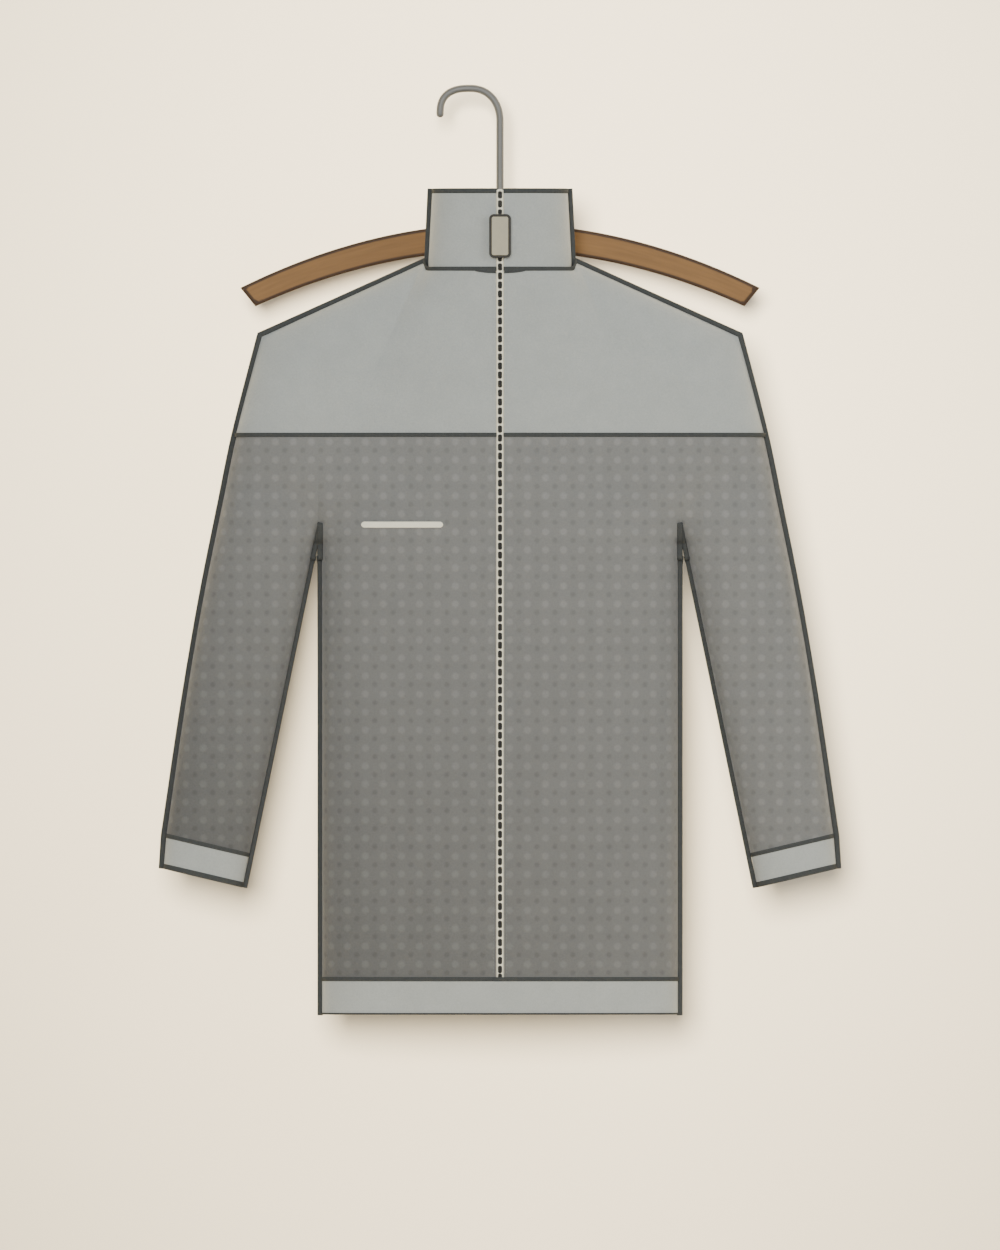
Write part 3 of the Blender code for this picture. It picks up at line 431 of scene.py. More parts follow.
def centre_y(z):
    """The front's outer face at the zip."""
    if z >= NECK_FRONT_Z:
        up = (z - NECK_FRONT_Z) / (COLLAR_TOP_Z - NECK_FRONT_Z)
        return SIDE_SEAM_Y - mixed(COLLAR_FRONT_FOOT, COLLAR_FRONT_TOP, up)
    if z >= YOKE_SEAM_Z:
        down = (NECK_FRONT_Z - z) / (NECK_FRONT_Z - YOKE_SEAM_Z)
        return SIDE_SEAM_Y - yoke_depth("front", 1, 0, 0, ZIP_FLAT, down)
    return SIDE_SEAM_Y - along(BODY_DEPTHS, 1, z)


print("depth at the chest:", round(1000 * body_depth("front", 1, 0.05, YOKE_SEAM_Z), 1), "mm")

# %% [markdown]
# ## Cloth in a fine grid
# A fleece panel is one layer of cloth, about 2 mm thick. A modelled sheet could be draped by simulation, but this one
# hangs almost flat, as drawn, so its points are worked out directly: a grid of rows on the outer face, thickened
# inwards. Every point also remembers where it lay in the flat cut, which later places the woven dots.

# %% From rows of points to a piece of cloth
INSET = 3.5 * MM                # the cloth stops this far inside the outline, under the dark binding
UNDERARM_INSET = 3.1 * MM       # the same at the underarm seam
YOKE_INSET = 2.6 * MM           # and on the yoke
ONE_POINT = 0.02 * MM           # points nearer than this are one point
HANDS = ((-1, "right"), (1, "left"))
made_pieces = {}


def placed(face, side, x, depth, z):
    """A point of the outer face: side 1 is the wearer's left, -1 the right."""
    forward = -1 if face == "front" else 1
    return Vector((CENTRE_X + side * x, SIDE_SEAM_Y + forward * depth, z))


def mesh_of(name, bm):
    """The mesh that was under way, as a mesh of its own."""
    mesh = bpy.data.meshes.new(name)
    bm.to_mesh(mesh)
    bm.free()
    return mesh


def take_modified_mesh(piece):
    """Gives the piece the mesh that its modifiers make."""
    bpy.context.view_layer.update()
    mesh = bpy.data.meshes.new_from_object(piece.evaluated_get(bpy.context.evaluated_depsgraph_get()))
    piece.modifiers.clear()
    piece.data = mesh


def dressed(piece, material, body, stands_for, sharp):
    """What every piece gets in the end: shading, material, body, and the node that it stands for."""
    piece.data.shade_smooth()
    piece.data.set_sharp_from_angle(angle=math.radians(sharp))
    piece.data.materials.clear()
    piece.data.materials.append(material)
    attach(piece, body)
    if stands_for:
        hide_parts(*stands_for)
    made_pieces[piece.name] = piece
    return piece


def cloth(name, patches, outward, material, stands_for=None, wall=WALL):
    """Patches are grids of (point, place in the cut). They are joined, thickened inwards and put on the garment."""
    bm = bmesh.new()
    cut = bm.verts.layers.float_vector.new("cut")
    for rows in patches:
        grid = []
        for row in rows:
            line = []
            for point, place in row:
                vertex = bm.verts.new(point)
                vertex[cut] = place
                line.append(vertex)
            grid.append(line)
        for upper, lower in zip(grid, grid[1:]):
            for k in range(len(upper) - 1):
                bm.faces.new((upper[k], upper[k + 1], lower[k + 1], lower[k]))
    bmesh.ops.remove_doubles(bm, verts=bm.verts, dist=ONE_POINT)
    bmesh.ops.dissolve_degenerate(bm, edges=bm.edges, dist=ONE_POINT / 10)
    bmesh.ops.recalc_face_normals(bm, faces=bm.faces)
    if sum(face.normal.dot(outward(face.calc_center_median())) * face.calc_area() for face in bm.faces) < 0:
        bmesh.ops.reverse_faces(bm, faces=bm.faces)
    piece = in_scene(name, mesh_of(name, bm))
    thick = piece.modifiers.new("wall", "SOLIDIFY")
    thick.thickness, thick.offset, thick.use_even_offset = wall, -1, False
    take_modified_mesh(piece)
    return dressed(piece, material, "garment", stands_for, 60)


def towards(y):
    return lambda _: Vector((0, y, 0))


def away_from(x):
    """Away from an upright line in the plane of the side seams."""
    return lambda p: Vector((p.x - x, p.y - SIDE_SEAM_Y, 0))

# %% [markdown]
# ## Creases
# The picture shows the cloth smooth, so only the creases that hanging fleece cannot be without are put in: a
# slight fullness that the stiff zip gathers beside it, a few soft pulls out of each armpit, and the sleeves' shallow
# bends at the elbow. The back gets its own set.

# %% Soft troughs, each a line of points with its depth and width
# x, z of the start, x, z of the end, depth, width; x to the wearer's left, in millimetres
FRONT_PULLS = (
    (166, -412, 96, -352, 1.5, 9), (168, -420, 112, -404, 1.1, 8), (176, -405, 214, -352, 1.4, 9),
    (-167, -414, -88, -366, 1.3, 10), (-169, -421, -118, -398, 1.2, 8), (-178, -404, -222, -360, 1.5, 9),
    (214, -566, 270, -548, 1.3, 8), (222, -592, 282, -590, 1.0, 7), (208, -536, 246, -520, 0.9, 7),
    (-216, -574, -274, -560, 1.2, 8), (-210, -544, -258, -524, 1.1, 7), (-226, -606, -280, -604, 0.9, 7),
    (60, -168, 98, -236, 0.9, 12), (-58, -168, -92, -228, 0.8, 12),
)
BACK_PULLS = (
    (167, -414, 92, -360, 1.6, 10), (170, -421, 120, -410, 1.0, 8), (178, -404, 226, -346, 1.3, 9),
    (-166, -412, -100, -350, 1.4, 9), (-170, -420, -108, -402, 1.1, 8), (-176, -406, -216, -356, 1.2, 9),
    (216, -580, 276, -566, 1.2, 8), (-220, -566, -272, -550, 1.3, 8), (-214, -598, -268, -594, 0.9, 7),
    (52, -172, 84, -240, 1.0, 13), (-54, -170, -90, -246, 0.9, 12),
)
# z, reach and height of the little waves that the zip gathers, in millimetres
ZIP_WAVES = ((-205, 34, 0.5), (-268, 40, 0.7), (-345, 30, 0.5), (-418, 44, 0.8), (-497, 36, 0.6),
             (-560, 46, 0.9), (-641, 38, 0.6), (-716, 48, 0.8), (-779, 34, 0.6))


def crease_depth(face, x, z):
    """How far the listed troughs pull the cloth in at a point, x to the wearer's left."""
    pull = 0.0
    for x1, z1, x2, z2, depth, width in (FRONT_PULLS if face == "front" else BACK_PULLS):
        run = Vector(((x2 - x1) * MM, (z2 - z1) * MM))
        at = Vector((x - x1 * MM, z - z1 * MM))
        t = at.dot(run) / run.length_squared
        if -0.3 < t < 1.3:
            off = (at - run * t).length / (width * MM)
            pull += depth * MM * math.exp(-off * off) * eased((t + 0.3) / 0.6) * eased((1.3 - t) / 0.9)
    if face == "front":
        for z0, reach, height in ZIP_WAVES:
            beside = (abs(x) - ZIP_EDGE) / (reach * MM)
            if beside < 1:
                up = (z - z0 * MM) / (17 * MM)
                pull += height * MM * math.exp(-up * up) * eased(beside * 4) * eased(1 - beside)
    return pull


print("creases:", len(FRONT_PULLS), "in front,", len(BACK_PULLS), "behind,", len(ZIP_WAVES), "waves beside the zip")

# %% [markdown]
# ## Materials of the cloth
# Fleece has a brushed nap: short fibres in small soft tufts that scatter light, with a sheen at grazing angles. The
# lower body is knitted with two sets of dots on one square raster, paler dots that stand up a little and smaller,
# darker ones that sink in between them.

# %% Nap, dots and the painted shade
DOT_PITCH, DOT_RIM = 17.1 * MM, 1.5 * MM
PALE_DOT_AT, PALE_DOT_RADIUS = (8.93 * MM, 9.0 * MM), 3.3 * MM
DARK_DOT_AT, DARK_DOT_RADIUS = (0.85 * MM, 0.95 * MM), 2.4 * MM
# painted shade: the dotted cloth's colour is made darker by these shares
SHADE = 0.36                    # the dotted cloth loses this share of its light at the hem, in the middle
SLEEVE_SHADE = 0.10             # and the sleeve on the wearer's right this share more


def nap_height(paint):
    """Tufts of about 2 mm with finer fibres on them, from 0 to 1."""
    places = paint.places()
    tufts = paint.node("TexVoronoi", Vector=places, Scale=430.0, feature="SMOOTH_F1", Smoothness=0.6)
    fibres = paint.node("TexNoise", Vector=places, Scale=1500.0, Detail=3.0, Roughness=0.6)
    rise = paint.math("ADD", paint.math("MULTIPLY", tufts.outputs["Distance"], -0.9), 0.9)
    return paint.math("ADD", rise, paint.math("MULTIPLY", fibres.outputs[0], 0.45))


def dots(paint, place, radius):
    """1 inside the dots of a square raster through that place of the cut, 0 outside, with a soft rim."""
    corner = (place[0] - DOT_PITCH / 2, place[1] - DOT_PITCH / 2, 0)
    in_pitches = paint.vector("SCALE", paint.vector("SUBTRACT", paint.places("cut"), corner), Scale=1 / DOT_PITCH)
    off_middle = paint.vector("SUBTRACT", paint.vector("FRACTION", in_pitches), (0.5, 0.5, 0))
    far = paint.vector("LENGTH", paint.vector("MULTIPLY", off_middle, (1, 1, 0)), out="Value")
    return paint.spread(far, 1, 0, (radius - DOT_RIM) / DOT_PITCH, (radius + DOT_RIM) / DOT_PITCH, "SMOOTHSTEP")


def shading(paint):
    """Painted shade on the dotted cloth's colour: 1 at the yoke seam, less towards the hem and the wearer's right, and
    least on the sleeve there.
    """
    split = paint.node("SeparateXYZ", paint.places()).outputs
    downwards = paint.spread(split["Z"], 0, SHADE, YOKE_SEAM_Z, HEM_SEAM_Z)
    to_the_right = paint.spread(split["X"], 1.5, 0.3, -0.36, 0.40)
    on_the_sleeve = paint.spread(split["X"], SLEEVE_SHADE, 0, -0.30, -0.10)
    left = paint.math("SUBTRACT", 1.0, paint.math("MULTIPLY", downwards, to_the_right))
    return paint.math("SUBTRACT", left, on_the_sleeve)


# %% The two fleeces
def fleece(name, color, dotted=False):
    paint = Paint(name)
    height = nap_height(paint)
    factor = paint.math("MULTIPLY", paint.cloud(42.0, 0.965, 1.035), paint.cloud(700.0, 0.94, 1.06))
    if dotted:
        # painted shade: darker towards the hem and the wearer's right
        factor = paint.math("MULTIPLY", factor, shading(paint))
        pale = dots(paint, PALE_DOT_AT, PALE_DOT_RADIUS)
        dark = dots(paint, DARK_DOT_AT, DARK_DOT_RADIUS)
        change = paint.math("ADD", paint.math("MULTIPLY", pale, 0.20), paint.math("MULTIPLY", dark, -0.17))
        factor = paint.math("MULTIPLY", factor, paint.math("ADD", change, 1.0))
        relief = paint.math("SUBTRACT", paint.math("MULTIPLY", pale, 0.8), paint.math("MULTIPLY", dark, 0.6))
        height = paint.math("ADD", height, relief)
    paint.bumped(height, 0.45 * MM, 0.6)
    return paint.surface(paint.shaded(color, factor), 0.95, 0.15, Sheen_Weight=0.18, Sheen_Roughness=0.5)


pale_fleece = fleece("pale_fleece", linear(170, 173, 167))
dotted_fleece = fleece("dotted_fleece", linear(126, 126, 122), dotted=True)
print("nodes in the dotted fleece:", len(dotted_fleece.node_tree.nodes))

# %% [markdown]
# ## Body and sleeves
# Each half panel is one grid for the body and one for the sleeve, and they share the column above the armpit, because
# the real cloth is cut in one there. Below it the two part, and each stops at its own bound seam.

# %% Rows of the panels
BODY_STEPS, SLEEVE_STEPS, MIDDLE_STEPS = 44, 26, 3
CHEST_ROWS, BODY_ROWS, SLEEVE_ROWS, YOKE_ROWS = 26, 100, 76, 40
BODY_SHARES, SLEEVE_SHARES = shares(BODY_STEPS), shares(SLEEVE_STEPS)
SLEEVE_PARTS = [sleeve_part(w) for w in SLEEVE_SHARES]
FLAT_SHARE = 0.86               # the dots keep their raster over this share of the way to a seam
CROTCH_RUN = 4 * MM             # below the armpit the cloth of body and sleeve parts over this height
CHEST_FOOT_Z = ARMPIT_Z + 20 * MM      # from here up, body and sleeve are one cloth, and the dots run on


def side_inset(z, full=INSET):
    """How far the cloth stops inside the side and underarm seams: nothing above the armpit."""
    return full * eased((ARMPIT_Z - z) / CROTCH_RUN)


def near_side(x):
    """0 over the middle of the body, 1 at its side, and most of the rise close to it."""
    return max((x - ZIP_FLAT) / (BODY_HALF - ZIP_FLAT), 0.0) ** 4


def body_stations(face):
    """Nominal x of the body's columns."""
    start = ZIP_EDGE if face == "front" else 0.0
    return [mixed(start, ZIP_FLAT, part) for part in shares(MIDDLE_STEPS)[:-1]] + [body_x(u) for u in BODY_SHARES]


def cut_places(side, points, first, last):
    """Where a row's points lay in the cut: their x between first and last, and the cloth's own length beyond."""
    xs = [side * (p.x - CENTRE_X) for p in points]
    inside = [i for i, x in enumerate(xs) if first <= x <= last]
    places = list(xs)
    for i in range(inside[-1] + 1, len(points)):
        places[i] = places[i - 1] + (points[i] - points[i - 1]).length
    for i in range(inside[0] - 1, -1, -1):
        places[i] = places[i + 1] - (points[i + 1] - points[i]).length
    return [(p, Vector((side * at, p.z, 0))) for p, at in zip(points, places)]


def panel_patches(face, side):
    """The grids of one half: the body's, then the sleeve's."""
    chest = [1 - math.sin(math.pi / 2 * i / CHEST_ROWS) for i in range(CHEST_ROWS + 1)]
    levels = [mixed(ARMPIT_Z, YOKE_SEAM_Z, part) for part in chest]
    body = []
    for z in levels + [mixed(ARMPIT_Z, HEM_SEAM_Z, down) for down in shares(BODY_ROWS)[1:]]:
        points = []
        for x in body_stations(face):
            depth = body_depth(face, side, x, z) - crease_depth(face, side * x, z)
            points.append(placed(face, side, x - side_inset(z) * near_side(x), max(depth, LIP), z))
        body.append(cut_places(side, points, 0, BODY_HALF * (FLAT_SHARE if z < CHEST_FOOT_Z else 1)))
    sleeve = []
    pairs = [(z, mixed(ARMPIT_OUTER_Z, YOKE_SEAM_Z, part)) for z, part in zip(levels, chest)]
    for down in shares(SLEEVE_ROWS)[1:]:
        pairs.append((mixed(ARMPIT_Z, CUFF_SEAM_IN[1], down), mixed(ARMPIT_OUTER_Z, CUFF_SEAM_OUT[1], down)))
    for inner_z, outer_z in pairs:
        inner = inner_edge(inner_z) + side_inset(inner_z, UNDERARM_INSET)
        outer = along(OVERARM, 1, outer_z) - INSET
        points = []
        for part in SLEEVE_PARTS:
            x, z = mixed(inner, outer, part), mixed(inner_z, outer_z, part)
            depth = sleeve_depth(inner_z, part) - crease_depth(face, side * x, z)
            points.append(placed(face, side, x, max(depth, LIP), z))
        margin = (1 - FLAT_SHARE) * (outer - inner)
        sleeve.append(cut_places(side, points, inner + (margin if inner_z < CHEST_FOOT_Z else 0), outer - margin))
    return [body, sleeve]


# %% Fronts and back
for side, hand in HANDS:
    cloth(f"front_{hand}_cloth", panel_patches("front", side), towards(-1), dotted_fleece,
          stands_for=[f"front_{hand}"])
cloth("back_cloth", panel_patches("back", 1) + panel_patches("back", -1), towards(1), dotted_fleece,
      stands_for=["back"])
for name, piece in made_pieces.items():
    print(name, len(piece.data.polygons), "faces")

# %% [markdown]
# ## Yokes
# The yoke is the paler cloth over the shoulders and the tops of the sleeves. It starts at the neck seam and the
# shoulder seam and ends in the long level seam across the chest.

# %% Yoke rows
def yoke_patch(face, side):
    stations = [(x, 0, 0) for x in body_stations(face)[:MIDDLE_STEPS]]
    stations += [(body_x(u), u, 0) for u in BODY_SHARES]
    outer_foot = along(OVERARM, 1, YOKE_SEAM_Z)
    stations += [(mixed(BODY_HALF, outer_foot - YOKE_INSET, sleeve_part(w)), 1, w) for w in SLEEVE_SHARES[1:]]
    neck_foot = body_x(NECK_SHARE)
    columns = []
    for foot_x, u, w in stations:
        if foot_x < ZIP_FLAT:
            top = (foot_x, NECK_FRONT_Z if face == "front" else NECK_BACK_Z)
        elif u <= NECK_SHARE:
            x, _, z = neck_ring(face, u / NECK_SHARE, 0)
            top = (x, z)
        else:
            part = (foot_x - neck_foot) / (outer_foot - YOKE_INSET - neck_foot)
            top = (mixed(COLLAR_HALF_FOOT, SHOULDER_TIP[0] - YOKE_INSET, part),
                   mixed(NECK_SIDE_Z, SHOULDER_TIP[1] - 0.8 * YOKE_INSET, part))
        columns.append((foot_x, u, w, top))
    rows = []
    for i in range(YOKE_ROWS + 1):
        down = 1 - math.cos(math.pi / 2 * i / YOKE_ROWS)
        row = []
        for k, (foot_x, u, w, top) in enumerate(columns):
            z = mixed(top[1], YOKE_SEAM_Z, down)
            x = along(OVERARM, 1, z) - YOKE_INSET if k == len(columns) - 1 else mixed(top[0], foot_x, down)
            depth = yoke_depth(face, side, u, w, foot_x, down) - crease_depth(face, side * x, z)
            row.append((placed(face, side, x, max(depth, LIP), z), Vector((side * x, z, 0))))
        rows.append(row)
    return rows


for side, hand in HANDS:
    cloth(f"yoke_front_{hand}_cloth", [yoke_patch("front", side)], towards(-1), pale_fleece,
          stands_for=[f"yoke_front_{hand}"])
cloth("yoke_back_cloth", [yoke_patch("back", 1), yoke_patch("back", -1)], towards(1), pale_fleece,
      stands_for=["yoke_back"])
print("yokes:", sum(len(made_pieces[n].data.polygons) for n in made_pieces if n.startswith("yoke")), "faces")

# %% [markdown]
# ## Collar, hem band and cuffs
# These are bands of the paler fleece. The collar is a ring that is open at the zip. The hem band and the cuffs are
# closed rings, so all of them are made of rings of points, each a little lower than the one before.

# %% Rings round the garment
BAND_STEPS, RING_STEPS = 10, 30
HEM_TURN_IN = 1.4 * MM          # the hem's cloth stops this far above its end, under the tape
CUFF_SHARE = 0.95               # and the cuff's after this share of its height
# face, side and direction of each quarter, round from the front's middle by the wearer's left and the back
QUARTERS = (("front", 1, 1), ("back", 1, -1), ("back", -1, 1), ("front", -1, -1))


def round_the_body(quarter):
    """A ring of points from the front's middle and back to it; quarter gives one face's points, outwards."""
    points = []
    for face, side, order in QUARTERS:
        part = quarter(face, side)[::order]
        points += part[1:] if points else part
    return points


def open_at_zip(points):
    """The ring with its ends drawn to the two edges of the zip."""
    left, right = [Vector((CENTRE_X + side * ZIP_EDGE, points[0].y, points[0].z)) for side in (1, -1)]
    return [left] + points + [right]


def band(rings, closed=True):
    """The rows of a band, each point with its place in the cut."""
    rows = [ring + ring[:1] if closed else ring for ring in rings]
    return [[(point, Vector((point.x if closed else 0, point.z, 0))) for point in row] for row in rows]


# %% Collar
def collar_point(face, side, turn, up):
    x, depth, z = neck_ring(face, turn, up)
    lean = 0.6 * MM * math.sin(math.pi * up) * math.sin(5.3 * turn + 1.3 * side + (2 if face == "back" else 0))
    return placed(face, side, x - INSET * swung(turn) ** 8, depth + lean, z)


def collar_ring(up):
    """The collar's outer face at one height, from one edge of the zip round to the other."""
    return open_at_zip(round_the_body(
        lambda face, side: [collar_point(face, side, turn, up) for turn in shares(RING_STEPS)]))


collar_rings = [collar_ring(up) for up in shares(2 * BAND_STEPS)]
cloth("collar_cloth", [band(collar_rings, closed=False)], away_from(CENTRE_X), pale_fleece, stands_for=["collar"])


# %% Hem band and cuffs
def hem_ring(z):
    """The band's outer face at one height, closed but for its last point."""
    stations = [0.0, ZIP_FLAT / 2] + [body_x(u) for u in BODY_SHARES]
    return round_the_body(lambda face, side: [
        placed(face, side, x - INSET * near_side(x), max(body_depth(face, side, x, z), 0), z) for x in stations])[:-1]


hem_rings = [hem_ring(mixed(HEM_SEAM_Z, HEM_Z + HEM_TURN_IN, down)) for down in shares(BAND_STEPS)]
cloth("hem_band_cloth", [band(hem_rings)], away_from(CENTRE_X), pale_fleece, stands_for=["hem_band"])


def cuff_ring(side, part):
    """The cuff's outer face, part of the way from its seam, 0, to its end, 1; closed but for its last point."""
    outer = [mixed(a, b, part) for a, b in zip(CUFF_SEAM_OUT, CUFF_END_OUT)]
    inner = [mixed(a, b, part) for a, b in zip(CUFF_SEAM_IN, CUFF_END_IN)]
    points = []
    for face, parts in (("front", SLEEVE_PARTS[:-1]), ("back", SLEEVE_PARTS[:0:-1])):
        for out in parts:
            x, z = mixed(inner[0] + INSET, outer[0] - INSET, out), mixed(inner[1], outer[1], out)
            points.append(placed(face, side, x, SLEEVE_DEPTHS[-1][1] * bulge(2 * out - 1), z))
    return points


for side, hand in HANDS:
    middle = CENTRE_X + side * (CUFF_SEAM_IN[0] + CUFF_END_OUT[0]) / 2
    cuff_rings = [cuff_ring(side, CUFF_SHARE * j / BAND_STEPS) for j in range(BAND_STEPS + 1)]
    cloth(f"cuff_{hand}_cloth", [band(cuff_rings)], away_from(middle), pale_fleece, stands_for=[f"cuff_{hand}"])
print("pieces of cloth:", len(made_pieces))

# %% [markdown]
# ## Bound seams
# Every seam and every open edge is bound with a dark woven tape, about 4 mm wide. That makes the strong outline of the
# picture. A curve with a bevel would do, but its section could not be flatter than it is wide or turn with the cloth,
# so a small sweep carries a rounded square along each seam. Its points remember how far along the tape they are, and
# the twill of the material follows that.

# %% Woven cloth, and the binding's
def woven(name, color, direction, scale, wander, ribs, patch, roughness, specular, relief, strength):
    """Ribs that follow the cut, on a colour that may vary in patches: their scale, low and high."""
    paint = Paint(name)
    weave = paint.node("TexWave", Vector=paint.places("cut"), wave_type="BANDS", bands_direction=direction,
                       Scale=scale, Distortion=wander).outputs["Fac"]
    tone = paint.spread(weave, *ribs)
    if patch:
        tone = paint.math("MULTIPLY", paint.cloud(*patch), tone)
    paint.bumped(weave, relief, strength)
    return paint.surface(paint.shaded(color, tone), roughness, specular)


binding_tape = woven("binding_tape", linear(70, 72, 70), "DIAGONAL", 340.0, 0.6, (0.88, 1.1), (300.0, 0.92, 1.08),
                     0.9, 0.12, 0.12 * MM, 0.7)

# %% Sweeping a rounded square along a path
SECTION_SIDES, SQUARENESS = 16, 5
END_ROUND = ((0.0, 0.72), (0.45, 0.93), (1.0, 1.0))    # share of the rounded end's length, share of the width


def section(k, square):
    """A corner of the rounded square, across and out from -1 to 1; square is 2 for a circle."""
    turn = 2 * math.pi * k / SECTION_SIDES
    return [math.copysign(abs(part) ** (2 / square), part) for part in (math.cos(turn), math.sin(turn))]


def evenly(points, step):
    """The path again, with points about that step apart and its corners kept."""
    spaced = [points[0]]
    for a, b in zip(points, points[1:]):
        count = max(round((b - a).length / step), 1)
        spaced += [a.lerp(b, k / count) for k in range(1, count + 1)]
    return spaced


def tangents(path, closed=False):
    """The direction of the path at each of its points."""
    before = [path[-1] if closed else path[0]] + path[:-1]
    after = path[1:] + [path[0] if closed else path[-1]]
    return [(b - a).normalized() for a, b in zip(before, after)]


def mitres(path, closed=False):
    """How much wider a section has to be at each point, so that the tape keeps its width round a corner."""
    ways = [(b - a).normalized() for a, b in zip(path, path[1:] + path[:1])]
    wider = []
    for k in range(len(path)):
        inner = closed or 0 < k < len(path) - 1
        turn = ways[k - 1].dot(ways[k]) if inner else 1
        wider.append(1 / max(math.sqrt((1 + turn) / 2), 0.7))
    return wider


def skin(bm, rings, closed=False):
    """Faces from each ring to the next, and a cap on both ends unless the last ring meets the first."""
    for upper, lower in zip(rings, rings[1:] + (rings[:1] if closed else [])):
        for k in range(len(upper)):
            bm.faces.new((upper[k - 1], upper[k], lower[k], lower[k - 1]))
    if not closed:
        bm.faces.new(rings[0][::-1])
        bm.faces.new(rings[-1])


def sweep(bm, path, wide, proud, outs, closed=False, square=SQUARENESS, scales=None):
    """Adds a tape along the path: wide is half its width, proud half its thickness, outs the way its face looks.
    Scales are shares of both, one for each point; without them an open tape gets short rounded ends."""
    cut = bm.verts.layers.float_vector.get("cut") or bm.verts.layers.float_vector.new("cut")
    outs = outs if isinstance(outs, list) else [outs] * len(path)
    sizes = wide if isinstance(wide, list) else [wide] * len(path)
    sizes = [size * share for size, share in zip(sizes, mitres(path, closed))]
    stations = list(zip(path, tangents(path, closed), outs, sizes, scales or [1.0] * len(path)))
    if not closed and not scales:
        ends = []
        for (point, tangent, out, size, _), way in ((stations[0], -1), (stations[-1], 1)):
            reach = min(0.4 * size, 0.5 * MM)
            ends.append([(point + tangent * way * reach * (1 - at), tangent, out, size, share)
                         for at, share in END_ROUND[:-1]])
        stations = ends[0] + stations + ends[1][::-1]
    rings, run = [], 0.0
    for k, (point, tangent, out, size, share) in enumerate(stations):
        across = tangent.cross(out).normalized()
        out = across.cross(tangent).normalized()
        run += (point - stations[k - 1][0]).length if k else 0.0
        ring = []
        for i in range(SECTION_SIDES):
            aside, up = section(i, square)
            vertex = bm.verts.new(point + share * (across * size * aside + out * proud * up))
            vertex[cut] = Vector((run, size * aside, 0))
            ring.append(vertex)
        rings.append(ring)
    skin(bm, rings, closed)


def finished(name, bm, material, body="garment", stands_for=None, sharp=60):
    """Turns the mesh under way into a piece that rides on its body."""
    bmesh.ops.recalc_face_normals(bm, faces=bm.faces)
    return dressed(in_scene(name, mesh_of(name, bm)), material, body, stands_for, sharp)


# %% [markdown]
# ## The level seams
# The yoke seam and the hem seam run level right round the jacket. Their tapes lie on the cloth, with their middles a
# little sunk into it.

# %% Yoke seam and hem seam
TAPE = 2.05 * MM                # half the width of a tape that lies on the cloth
OUTLINE_TAPE = 2.65 * MM        # the same where it binds the outline
EDGE_TAPE = 2.15 * MM           # half the thickness of a tape along the outline
PRESSED = 1.15 * MM             # half the thickness of a tape that lies on the cloth
SUNK = 0.35 * MM                # how deep its middle lies in the cloth
TOWARDS_VIEWER = Vector((0, -1, 0))
UPWARDS = Vector((0, 0, 1))
laid_tapes = []                 # what the stitches need to know later


def outwards(ring, closed=True, axis=UPWARDS):
    """The direction out of the cloth at each point of a ring."""
    middle = sum(ring, Vector()) / len(ring)
    outs = [tangent.cross(axis).normalized() for tangent in tangents(ring, closed)]
    return [out if out.dot(point - middle) > 0 else -out for point, out in zip(ring, outs)]


def without_doubles(ring):
    return [point for k, point in enumerate(ring) if (point - ring[k - 1]).length > 0.3 * MM]


def lay(bm, path, outs, wide, proud, closed=False, faces=(1,)):
    """Lays a tape, to be stitched later on its face, 1, on its back, -1, or on both."""
    sweep(bm, path, wide, proud, outs, closed)
    laid_tapes.append((path, outs, wide, proud, closed, faces))


def bind_ring(bm, ring, wide, proud, sink, closed=True, axis=UPWARDS):
    """Lays a tape along a ring of the cloth's outer face, its middle sunk that deep."""
    ring = without_doubles(ring)
    outs = outwards(ring, closed, axis)
    lay(bm, [point - out * sink for point, out in zip(ring, outs)], outs, wide, proud, closed)


def yoke_seam_quarter(face, side):
    """The yoke seam from the middle out to the overarm."""
    stations = [(x, body_depth(face, side, x, YOKE_SEAM_Z)) for x in body_stations(face)]
    outer = along(OVERARM, 1, YOKE_SEAM_Z) - 0.5 * INSET
    stations += [(mixed(BODY_HALF, outer, part), sleeve_depth(YOKE_SEAM_Z, part)) for part in SLEEVE_PARTS[1:]]
    return [placed(face, side, x, max(depth - crease_depth(face, side * x, YOKE_SEAM_Z), 0), YOKE_SEAM_Z)
            for x, depth in stations]


bm = bmesh.new()
bind_ring(bm, round_the_body(yoke_seam_quarter), TAPE, PRESSED, SUNK, closed=False)
bind_ring(bm, hem_ring(HEM_SEAM_Z), TAPE, PRESSED, SUNK)
level_tapes = finished("level_seam_tapes", bm, binding_tape)
print("level seams:", len(level_tapes.data.polygons), "faces")

# %% [markdown]
# ## Cuffs, hem and collar
# The cuffs and the collar have a seam tape at the foot and a wider one folded over the open edge. At the hem the fold
# is turned in, and only 2 mm of the tape show.

# %% Rings of tape on the bands
FOLD = WALL / 2 + 0.6 * MM      # half the thickness of a tape folded round an edge
HEM_TAPE, HEM_TAPE_RISE = 0.9 * MM, 0.95 * MM
CUFF_END_MIDDLE = 1.35 * MM     # the middle of the cuff's folded tape lies this far above its end
CUFF_TILT, CUFF_MIDDLE = 0.019, 278 * MM
COLLAR_TAPE, COLLAR_SIDE_TAPE = 2.45 * MM, 2.35 * MM
COLLAR_TAPE_DROP = 0.6 * MM     # the middle of the collar's folded tape, below the collar's top
NECK_TAPE_RISE = 1.4 * MM       # the middle of the neck seam's tape, above the seam
NECK_TAPE_OUT = 0.8 * MM        # and how far it stands out at the shoulders
COLLAR_SIDE = ((COLLAR_HALF_TOP - 1.3 * MM, COLLAR_TOP_Z + 1.4 * MM),      # ends of the tape up the collar's side
               (COLLAR_HALF_FOOT - 1.7 * MM, NECK_SIDE_Z - 3.8 * MM))
TAPE_STEP = 4 * MM


def tilted(ring):
    """The cuffs' tapes lean a little more than the cut of the cuff."""
    return [point - UPWARDS * CUFF_TILT * (abs(point.x - CENTRE_X) - CUFF_MIDDLE) for point in ring]


